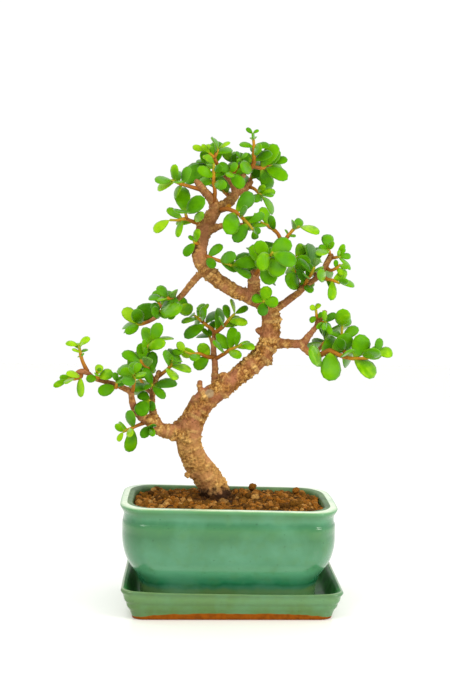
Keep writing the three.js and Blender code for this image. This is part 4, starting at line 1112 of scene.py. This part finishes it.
# %% The sprays: for each twig its stem's points, its leaf rule, its seed and its tone
SPRAYS = {
    "far_left_high": [
        ([[-102, -24, 169], [-104, -25, 173], [-106, -25, 178], [-108, -24, 187]],
         (8, 0.6, 195, 85, 5, 10, 0.65, 30), 141, 7),
    ],
    "far_left_low": [
        ([[-106, -25, 167], [-107, -27, 165], [-111, -29, 164], [-115, -30, 164]],
         (5, 0.2, 60, 45, 14, 12, 0.45, 30), 65, 7),
    ],
    "left_hump": [
        ([[-94, -22, 163], [-95, -27, 166], [-95, -30, 170]], (5, 0.3, 255, 85, 10, 5, 0.8, 0), 222, 6),
    ],
    "left_mid": [
        ([[-82, -20, 158], [-82, -24, 158], [-81, -28, 162]], (4, 0.3, 135, 75, 12, 7, 0.8, 10), 715, 4),
    ],
    "left_riser_low": [
        ([[-71, -18, 154], [-70, -23, 157], [-69, -28, 163], [-69, -32, 168]],
         (6, 0.8, 155, 70, 11, 10, 0.75, 20), 903, 5),
    ],
    "left_tall": [
        ([[-55, -5, 160], [-59, -8, 166], [-61, -10, 171], [-65, -11, 176], [-63, -10, 181],
          [-61, -9, 185], [-57, -8, 189]],
         (12, 0.2, 65, 50, 16, 16, 0.65, 40), 934, 5),
    ],
    "left_riser_side": [
        ([[-57, -6, 155], [-57, -10, 157], [-57, -14, 159]], (5, 0.5, 300, 85, 19, 7, 0.65, 50), 33, 4),
    ],
    "left_stub_twig": [
        ([[-53, -5, 164], [-48, -7, 168], [-44, -9, 172], [-43, -10, 176]],
         (7, 0.6, 65, 75, 19, 5, 0.75, 50), 595, 6),
    ],
    "left_lower_pair": [
        ([[-57, -8, 146], [-58, -13, 147], [-59, -17, 148]], (3, 0.8, 145, 85, 10, 16, 0.85, 10), 984, 4),
    ],
    "left_low": [
        ([[-61, -12, 132], [-67, -15, 130], [-72, -18, 128], [-77, -20, 126]],
         (6, 0.6, 45, 80, 18, 8, 0.65, 10), 283, 6),
    ],
    "left_low_leaf": [
        ([[-56, -12, 131], [-58, -17, 130], [-58, -20, 129]], (3, 0.7, 150, 30, 13, 12, 0.55, 0), 990, 2),
    ],
    "upper_left_tip": [
        ([[-60, 18, 203], [-65, 18, 201], [-70, 17, 200]], (5, 0.6, 350, 60, 17, 13, 0.65, 40), 805, 6),
    ],
    "upper_left_mid": [
        ([[-54, 16, 207], [-53, 11, 208], [-52, 6, 211]], (5, 0.6, 245, 70, 11, 20, 0.8, 20), 900, 4),
    ],
    "upper_left_back": [
        ([[-44, 11, 216], [-42, 16, 214], [-41, 20, 213]], (3, 0.9, 290, 75, 11, 13, 0.8, 10), 387, 4),
    ],
    "upper_left_top": [
        ([[-40, 8, 219], [-43, 6, 220], [-48, 5, 220], [-51, 4, 220]],
         (5, 0.2, 325, 40, 11, 10, 0.8, 70), 132, 5),
    ],
    "trunk_left_leaf": [
        ([[-24, -6, 259], [-27, -9, 260], [-28, -10, 261]], (3, 0.7, 60, 85, 11, 5, 0.65, 20), 904, 6),
    ],
    "trunk_right_twig": [
        ([[-22, -7, 251], [-15, -10, 249], [-9, -12, 247], [-1, -13, 244]],
         (6, 0.2, 90, 40, 14, 17, 0.65, 30), 797, 4),
    ],
    "centre_rosette": [
        ([[15, -8, 236], [19, -15, 242], [24, -23, 249], [27, -31, 253]],
         (9, 0.4, 70, 85, 16, 16, 0.8, 0), 309, 4),
    ],
    "fork_rosette": [
        ([[25, -2, 214], [23, -10, 217], [22, -14, 219]], (5, 0.9, 275, 85, 10, 12, 0.8, 20), 527, 4),
    ],
    "centre_right_twig": [
        ([[-9, -1, 284], [-3, -5, 284], [3, -9, 281], [7, -12, 277], [11, -14, 273], [14, -15, 269]],
         (8, 0.4, 270, 75, 23, 11, 0.6, 10), 825, 3),
    ],
    "right_inner": [
        ([[48, -9, 226], [47, -5, 231], [46, -3, 240], [45, -3, 251]],
         (5, 0.1, 300, 75, 15, 13, 0.8, 0), 629, 5),
    ],
    "right_crown": [
        ([[69, -15, 250], [68, -17, 254], [67, -18, 256]], (5, 0.9, 310, 75, 13, 4, 0.75, 10), 184, 6),
        ([[69, -15, 250], [72, -17, 250], [75, -19, 251]], (5, 0.8, 75, 55, 12, 6, 0.5, 10), 419, 6),
    ],
    "right_side_low": [
        ([[66, -15, 243], [69, -19, 241], [73, -22, 243], [75, -24, 245]],
         (3, 0.7, 310, 65, 7, 10, 0.7, 10), 775, 6),
    ],
    "right_side_tail": [
        ([[62, -14, 238], [66, -17, 235], [70, -19, 234], [75, -21, 232]],
         (6, 0.3, 10, 70, 15, 12, 0.65, 20), 887, 5),
    ],
    "right_inner_front": [
        ([[51, -11, 228], [52, -17, 233], [55, -20, 238], [57, -22, 243]],
         (7, 0.2, 190, 70, 12, 13, 0.55, 70), 749, 3),
    ],
    "right_low_top": [
        ([[63, -10, 206], [60, -14, 208], [59, -15, 213]], (4, 0.5, 35, 85, 6, 6, 0.8, 10), 650, 6),
    ],
    "right_low_side": [
        ([[63, -10, 204], [64, -14, 204], [66, -17, 204]], (5, 0.7, 250, 80, 11, 14, 0.5, 30), 157, 5),
    ],
    "right_low_far": [
        ([[59, -11, 180], [63, -14, 181], [69, -16, 184], [76, -18, 181], [83, -20, 179],
          [91, -22, 179], [97, -24, 180], [101, -25, 183]],
         (12, 0.1, 355, 70, 24, 13, 0.8, 0), 317, 5),
        ([[80, -19, 180], [79, -15, 187], [78, -13, 194], [78, -13, 201]],
         (6, 0.2, 165, 65, 11, 15, 0.7, 0), 533, 4),
    ],
    "mid_right": [
        ([[-13, 11, 175], [-7, 8, 179], [-1, 5, 183], [7, 2, 187]],
         (7, 0.4, 160, 75, 17, 12, 0.5, 20), 482, 5),
    ],
    "mid_left": [
        ([[-12, 11, 177], [-18, 7, 178], [-23, 4, 180], [-29, 1, 180], [-34, -1, 182]],
         (6, 0.2, 70, 50, 15, 11, 0.7, 0), 515, 6),
    ],
    "top_left_twig": [
        ([[-24, -6, 298], [-32, -9, 300], [-39, -11, 302], [-44, -12, 304]],
         (7, 0.6, 10, 80, 14, 14, 0.65, 50), 802, 6),
    ],
    "left_pair_twig": [
        ([[-21, 2, 274], [-28, -3, 275], [-34, -5, 277], [-39, -6, 276], [-45, -7, 276]],
         (5, 0.3, 35, 70, 15, 18, 0.5, 0), 439, 6),
        ([[-33, -5, 277], [-34, -7, 281]], (3, 0.9, 335, 70, 21, 18, 0.6, 20), 508, 5),
    ],
    "crown_dark_twig": [
        ([[-14, 0, 289], [-13, -3, 296], [-14, -5, 303], [-14, -7, 310], [-14, -8, 316]],
         (7, 0.5, 35, 85, 14, 9, 0.65, 0), 555, 4),
    ],
    "crown_left_tip": [
        ([[-10, -1, 313], [-14, -3, 321], [-17, -3, 324], [-19, -3, 326]],
         (5, 0.6, 70, 40, 8, 10, 0.55, 0), 852, 7),
        ([[-14, -3, 320], [-11, -2, 327]], (4, 0.5, 330, 65, 18, 12, 0.45, 40), 902, 6),
    ],
    "crown_mid": [
        ([[-4, 3, 307], [-3, -3, 309], [-2, -7, 310]], (4, 0.8, 345, 80, 13, 10, 0.8, 20), 579, 4),
    ],
    "crown_high": [
        ([[10, 12, 311], [15, 9, 318], [15, 7, 324], [15, 6, 330], [14, 5, 339]],
         (12, 0.2, 180, 90, 20, 6, 0.65, 0), 341, 4),
        ([[14, 10, 316], [20, 13, 315], [25, 15, 316], [29, 16, 319]],
         (8, 0.4, 325, 55, 22, 11, 0.6, 10), 841, 5),
        ([[25, 15, 316], [27, 19, 327]], (1, 0.6, 335, 75, 8, 7, 0.8, 60), 193, 7),
    ],
    "right_arm_tip": [
        ([[11, 19, 302], [16, 16, 300], [21, 13, 295]], (6, 0.7, 350, 60, 10, 15, 0.55, 30), 701, 5),
    ],
    "mid_top": [
        ([[-13, 15, 189], [-13, 18, 196], [-18, 19, 200], [-23, 21, 204], [-27, 22, 207]],
         (7, 0.6, 285, 85, 17, 11, 0.6, 10), 264, 5),
        ([[-21, 20, 202], [-21, 20, 210]], (4, 0.8, 160, 70, 5, 7, 0.55, 10), 876, 5),
        ([[-13, 17, 194], [-9, 14, 197], [-5, 12, 201], [-1, 10, 206], [2, 9, 209]],
         (8, 0.1, 270, 70, 20, 12, 0.5, 40), 859, 6),
    ],
    "centre_top": [
        ([[35, -7, 260], [39, -9, 265], [43, -10, 270], [47, -11, 272]],
         (5, 0.4, 280, 65, 7, 16, 0.65, 40), 615, 6),
        ([[35, -6, 260], [32, -5, 267], [26, -4, 272], [20, -4, 275]],
         (5, 0.5, 155, 55, 15, 11, 0.55, 40), 714, 5),
    ],
    "left_back": [
        ([[-57, -6, 152], [-62, 2, 155], [-66, 11, 160], [-68, 18, 163]],
         (6, 0.8, 190, 55, 20, 13, 0.8, 60), 84, 4),
    ],
    "upper_left_rear": [
        ([[-48, 13, 212], [-52, 20, 214], [-55, 28, 218]], (6, 0.4, 95, 70, 18, 5, 0.8, 10), 576, 4),
    ],
    "mid_back": [
        ([[-13, 13, 181], [-14, 21, 186], [-16, 28, 192]], (6, 0.9, 35, 45, 12, 4, 0.6, 40), 718, 4),
    ],
    "centre_back": [
        ([[15, -6, 232], [19, 6, 240], [22, 16, 248]], (6, 0.4, 285, 75, 19, 18, 0.8, 30), 588, 3),
    ],
    "right_back": [
        ([[60, -14, 236], [58, -4, 240], [57, 6, 246], [56, 13, 250]],
         (7, 0.4, 325, 55, 20, 14, 0.8, 60), 193, 4),
    ],
    "right_low_back": [
        ([[58, -11, 181], [62, -2, 183], [66, 7, 187], [70, 14, 190]],
         (7, 0.8, 40, 85, 21, 18, 0.7, 70), 770, 4),
    ],
    "crown_back": [
        ([[0, 11, 293], [-6, 20, 298], [-10, 28, 304]], (7, 0.3, 350, 30, 17, 16, 0.65, 30), 547, 3),
    ],
    "crown_back_right": [
        ([[12, 20, 303], [14, 28, 309], [16, 34, 316]], (6, 0.4, 25, 65, 21, 15, 0.65, 10), 756, 4),
    ],
    "crown_behind_left": [
        ([[-6, 3, 309], [-12, 7, 313], [-17, 10, 317], [-20, 12, 320]],
         (7, 0.6, 75, 70, 21, 4, 0.8, 30), 761, 4),
    ],
    "crown_behind_mid": [
        ([[6, 14, 306], [3, 16, 313], [1, 18, 319]], (6, 0.2, 300, 40, 15, 10, 0.75, 10), 814, 3),
    ],
    "crown_inner": [
        ([[-2, 7, 303], [0, 4, 309], [3, 2, 315], [5, 1, 320]], (6, 0.5, 270, 60, 8, 7, 0.75, 20), 529, 4),
    ],
}

# %% The leaf rule
LIGHT_ASIDE = 0.05
# How much less the leaves lean out at the tip, how much they turn up, and how much their
# upper sides follow the stem.
LESS_AT_TIP, TURNED_UP, ALONG_STEM = 0.25, 0.12, 0.35
# The most that a draw changes: turn, lean and twist in degrees, length and width as shares.
DRAWN_TURN, DRAWN_LEAN, DRAWN_TWIST, DRAWN_LENGTH, DRAWN_WIDTH = 22, 15, 30, 0.16, 0.08


def drawer(seed):
    """One seeded draw after another, each between -1 and 1."""
    state = seed * 7919 + 11

    def draw():
        nonlocal state
        state = state * 16807 % 2147483647
        return state / 2147483647 * 2 - 1

    return draw


def along_stem(points, share):
    """The place and heading at a share of a stem's length."""
    steps = np.diff(points, axis=0)
    lengths = np.linalg.norm(steps, axis=1)
    ends = np.cumsum(lengths)
    reach = share * ends[-1]
    i = min(int(np.searchsorted(ends, reach)), len(steps) - 1)
    heading = steps[i] / lengths[i]
    return points[i] + heading * min(reach - ends[i] + lengths[i], lengths[i]), heading


def leaves_of(stem, rule, seed):
    """Leaves in opposite pairs, each pair a quarter turn on from the one below it. A leaf
    leans out from its stem by its spread, less towards the tip, and turns its upper side
    to the front and the sky."""
    count, first, turn, spread, low_size, tip_size, breadth, sky = rule
    light = np.array([LIGHT_ASIDE, -np.cos(np.radians(sky)), np.sin(np.radians(sky))])
    draw = drawer(seed)
    last_pair = max(1, (count + 1) // 2 - 1)
    rows = []
    for i in range(count):
        share = (i // 2) / last_pair
        place, heading = along_stem(stem, first + (1 - first) * share if count > 2 else 1)
        facing = unit(light - heading * (light @ heading))
        beside = np.cross(heading, facing)
        round_stem = np.radians(turn + 90 * (i // 2) + 180 * (i % 2) + DRAWN_TURN * draw())
        out = np.radians(spread * (1 - LESS_AT_TIP * share) + DRAWN_LEAN * draw())
        ahead = unit(heading * np.cos(out) + np.sin(out) * (
            facing * np.cos(round_stem) + beside * np.sin(round_stem)))
        ahead = unit(ahead + [0, 0, TURNED_UP])
        length = (low_size + (tip_size - low_size) * share) * (1 + DRAWN_LENGTH * draw())
        width = length * (breadth + DRAWN_WIDTH * draw())
        top = light + ALONG_STEM * heading
        top = unit(top - ahead * (top @ ahead))
        twist = np.radians(DRAWN_TWIST * draw())
        upper = top * np.cos(twist) + np.cross(ahead, top) * np.sin(twist)
        rows.append([*place, *ahead, *upper, length, width, share])
    return np.array(rows)


# %% The shape of a leaf, and of a stem with its swollen joints
LEAF_SHARES = np.array([0.05, 0.17, 0.36, 0.58, 0.78, 0.93])
LEAF_SIDES = 8
LEAF_ROUND, LEAF_FOOT, LEAF_ARCH = 1.3, 0.06, 0.07
LEAF_THIN, LEAF_FLESH, LEAF_CUP, LEAF_CUP_DRAWN = 0.45, 0.04, 0.02, 0.05
STEM_ROOT, STEM_TAPER, STEM_TIP, STEM_SIDES, STEM_STEPS = 1.3, 0.015, 0.8, 8, 5
JOINT_REACH, JOINT_SWELLING = 1.6, 0.22


def leaf_skins(rows, draws):
    """All the leaves of a twig. Along each blade the half width follows a circle pulled
    towards the tip, and pinched at the foot; across it the blade is an ellipse, thickest
    at the middle. The blade's middle line arches up, and its edges lift a little."""
    place, ahead, upper = rows[:, None, None, 0:3], rows[:, None, None, 3:6], rows[:, None, None, 6:9]
    side = np.cross(rows[:, 3:6], rows[:, 6:9])[:, None, None, :]
    length, width = rows[:, 9][:, None], rows[:, 10][:, None]
    bulge = np.sqrt(1 - (2 * LEAF_SHARES**LEAF_ROUND - 1) ** 2) * LEAF_SHARES / (LEAF_SHARES + LEAF_FOOT)
    half = width / 2 * bulge
    deep = (LEAF_THIN + LEAF_FLESH * width) * np.sqrt(bulge)
    cup = (LEAF_CUP + LEAF_CUP_DRAWN * draws.uniform(size=length.shape)) * width
    arch = LEAF_ARCH * length * 4 * LEAF_SHARES * (1 - LEAF_SHARES)
    turn = 2 * np.pi * np.arange(LEAF_SIDES) / LEAF_SIDES
    lift = arch[..., None] + deep[..., None] * np.cos(turn) + (cup * bulge)[..., None] * np.sin(turn) ** 2
    reach = (length * LEAF_SHARES)[..., None, None]
    aside = (half[..., None] * np.sin(turn))[..., None]
    grid = place + ahead * reach + upper * lift[..., None] + side * aside
    count = len(rows)
    tips = rows[:, 0:3] + rows[:, 3:6] * rows[:, 9:10]
    points = np.concatenate([grid.reshape(count, -1, 3), rows[:, None, 0:3], tips[:, None]], axis=1)
    quads, fans = skin_faces(len(LEAF_SHARES), LEAF_SIDES)
    start = (np.arange(count) * points.shape[1])[:, None, None]
    edge = np.tile(np.abs(np.sin(turn)), len(LEAF_SHARES))
    under = np.tile(-np.cos(turn), len(LEAF_SHARES))
    along = np.repeat(LEAF_SHARES, LEAF_SIDES)
    marks = np.column_stack([
        np.append(edge, [0.0, 1.0]), np.append(under, [0.0, 0.0]), np.append(along, [0.0, 1.0])])
    faces = ((quads + start).reshape(-1, 4), (fans + start).reshape(-1, 3))
    return points.reshape(-1, 3), faces, np.tile(marks, (count, 1))


def stem_skin(stem, joints):
    """A tube from the root's radius to the tip's, with a soft swelling at each joint
    where a pair of leaves sits."""
    path = smooth_path(stem, STEM_STEPS)
    steps = np.linalg.norm(np.diff(path, axis=0), axis=1)
    length = steps.sum()
    share = np.concatenate([[0], np.cumsum(steps)]) / length
    root = STEM_ROOT + STEM_TAPER * length
    radii = root + (STEM_TIP - root) * share
    near = np.exp(-(((share[:, None] - joints[None, :]) * length / JOINT_REACH) ** 2)).max(axis=1)
    return tube_skin(path, radii * (1 + JOINT_SWELLING * near), STEM_SIDES), share


# %% Grow a spray
# A twig's tone goes from 0, deep green, to BRIGHTEST_TONE. The leaves are younger by a
# share at its tip, and each has a draw of its own.
BRIGHTEST_TONE, YOUNGER_AT_TIP, TONE_DRAWN = 9, 0.16, 0.26


def grow_spray(name, twigs, seed):
    """The mesh of one spray: its stems first, then its leaves, with the values that the
    two materials read."""
    draws = np.random.default_rng(seed)
    skins, tones, marks = [], [], []
    for stem, rule, twig_seed, tone in twigs:
        stem = np.array(stem, dtype=float)
        rows = leaves_of(stem, rule, twig_seed)
        leaf_share = rows[:, 11]
        joints = rule[1] + (1 - rule[1]) * np.unique(leaf_share)
        skin, share = stem_skin(stem, joints)
        skins.append(skin)
        ages = np.append(np.repeat(share, STEM_SIDES), [0.0, 1.0])
        tones.append(ages)
        marks.append(np.zeros((len(ages), 3)))
        points, faces, leaf_marks = leaf_skins(rows, draws)
        leaf_tone = tone / BRIGHTEST_TONE + YOUNGER_AT_TIP * leaf_share
        leaf_tone = leaf_tone + TONE_DRAWN * draws.uniform(-1, 1, len(rows))
        skins.append((points, faces))
        tones.append(np.repeat(np.clip(leaf_tone, 0, 1), len(points) // len(rows)))
        marks.append(leaf_marks)
    points, faces = merge_skins(skins)
    leaf_quads = np.concatenate([np.full(len(skin[1][0]), i % 2) for i, skin in enumerate(skins)])
    leaf_fans = np.concatenate([np.full(len(skin[1][1]), i % 2) for i, skin in enumerate(skins)])
    values = {"tone": np.concatenate(tones), "blade": np.concatenate(marks)}
    return make_mesh(name, points, faces, values, np.concatenate([leaf_quads, leaf_fans]))

# %% Stems from brown to green, and waxy leaves


def stem_material():
    """Brown at the root of a shoot, orange in the middle and yellow-green at its tip."""
    material, add = new_material("young_stem")
    age = maths(add, "ADD", carried(add, "tone"), stretched(add, noise(add, 6), 0.3, 0.7, -0.15, 0.15))
    colour = ramp(add, age, [
        (0.0, linear(118, 66, 22)), (0.35, linear(150, 92, 22)), (0.7, linear(176, 122, 24)),
        (1.0, linear(152, 152, 28)),
    ])
    finish_material(add, colour, 0.5, 0.15)
    return material


def leaf_material():
    """A waxy leaf: green by its tone, from old and deep to young and yellowish, mottled
    by slow noise, with a painted grey-green sheen on some, a paler rim and underside and a
    yellow foot."""
    material, add = new_material("fleshy_leaf")
    blade = add("ShaderNodeSeparateXYZ", Vector=carried(add, "blade", "Vector"))
    edge, under, along = (blade.outputs[axis] for axis in "XYZ")
    mottle = noise(add, 5, 3.0)
    tone = maths(add, "ADD", carried(add, "tone"), stretched(add, mottle, 0.3, 0.7, -0.12, 0.12))
    colour = ramp(add, tone, [
        (0.0, linear(46, 96, 8)), (0.3, linear(62, 118, 4)), (0.6, linear(84, 146, 0)),
        (0.8, linear(98, 154, 2)), (1.0, linear(142, 186, 20)),
    ])
    # Painted sheen: slow noise turns patches of leaves towards a greyer green, as gloss on their wax would.
    painted_sheen = noise(add, 13, 1.0)
    colour = mixed(add, stretched(add, painted_sheen, 0.5, 0.66, 0, 0.5), colour, linear(76, 132, 40))
    colour = mixed(add, stretched(add, under, 0.05, 0.7, 0, 0.75), colour, linear(112, 150, 72))
    colour = mixed(add, stretched(add, edge, 0.86, 1.0, 0, 0.5), colour, linear(132, 180, 28))
    colour = mixed(add, stretched(add, along, 0.22, 0.02, 0, 0.6), colour, linear(152, 172, 28))
    glancing = add("ShaderNodeLayerWeight", Blend=0.35).outputs["Facing"]
    gloss = stretched(add, glancing, 0.18, 0.6, 0.04, 0.95)
    finish_material(add, colour, 0.3, gloss, bumped(add, mottle, 0.1, 0.4))
    return material

# %% Place all the sprays
FIRST_SEED = 100
spray_materials = [stem_material(), leaf_material()]
for number, (spray, twigs) in enumerate(SPRAYS.items()):
    name = "leafy_" + spray
    place_piece(name, grow_spray(name, twigs, FIRST_SEED + number), spray_materials, [spray])
print(sum(rule[0] for twigs in SPRAYS.values() for _, rule, _, _ in twigs), "leaves")
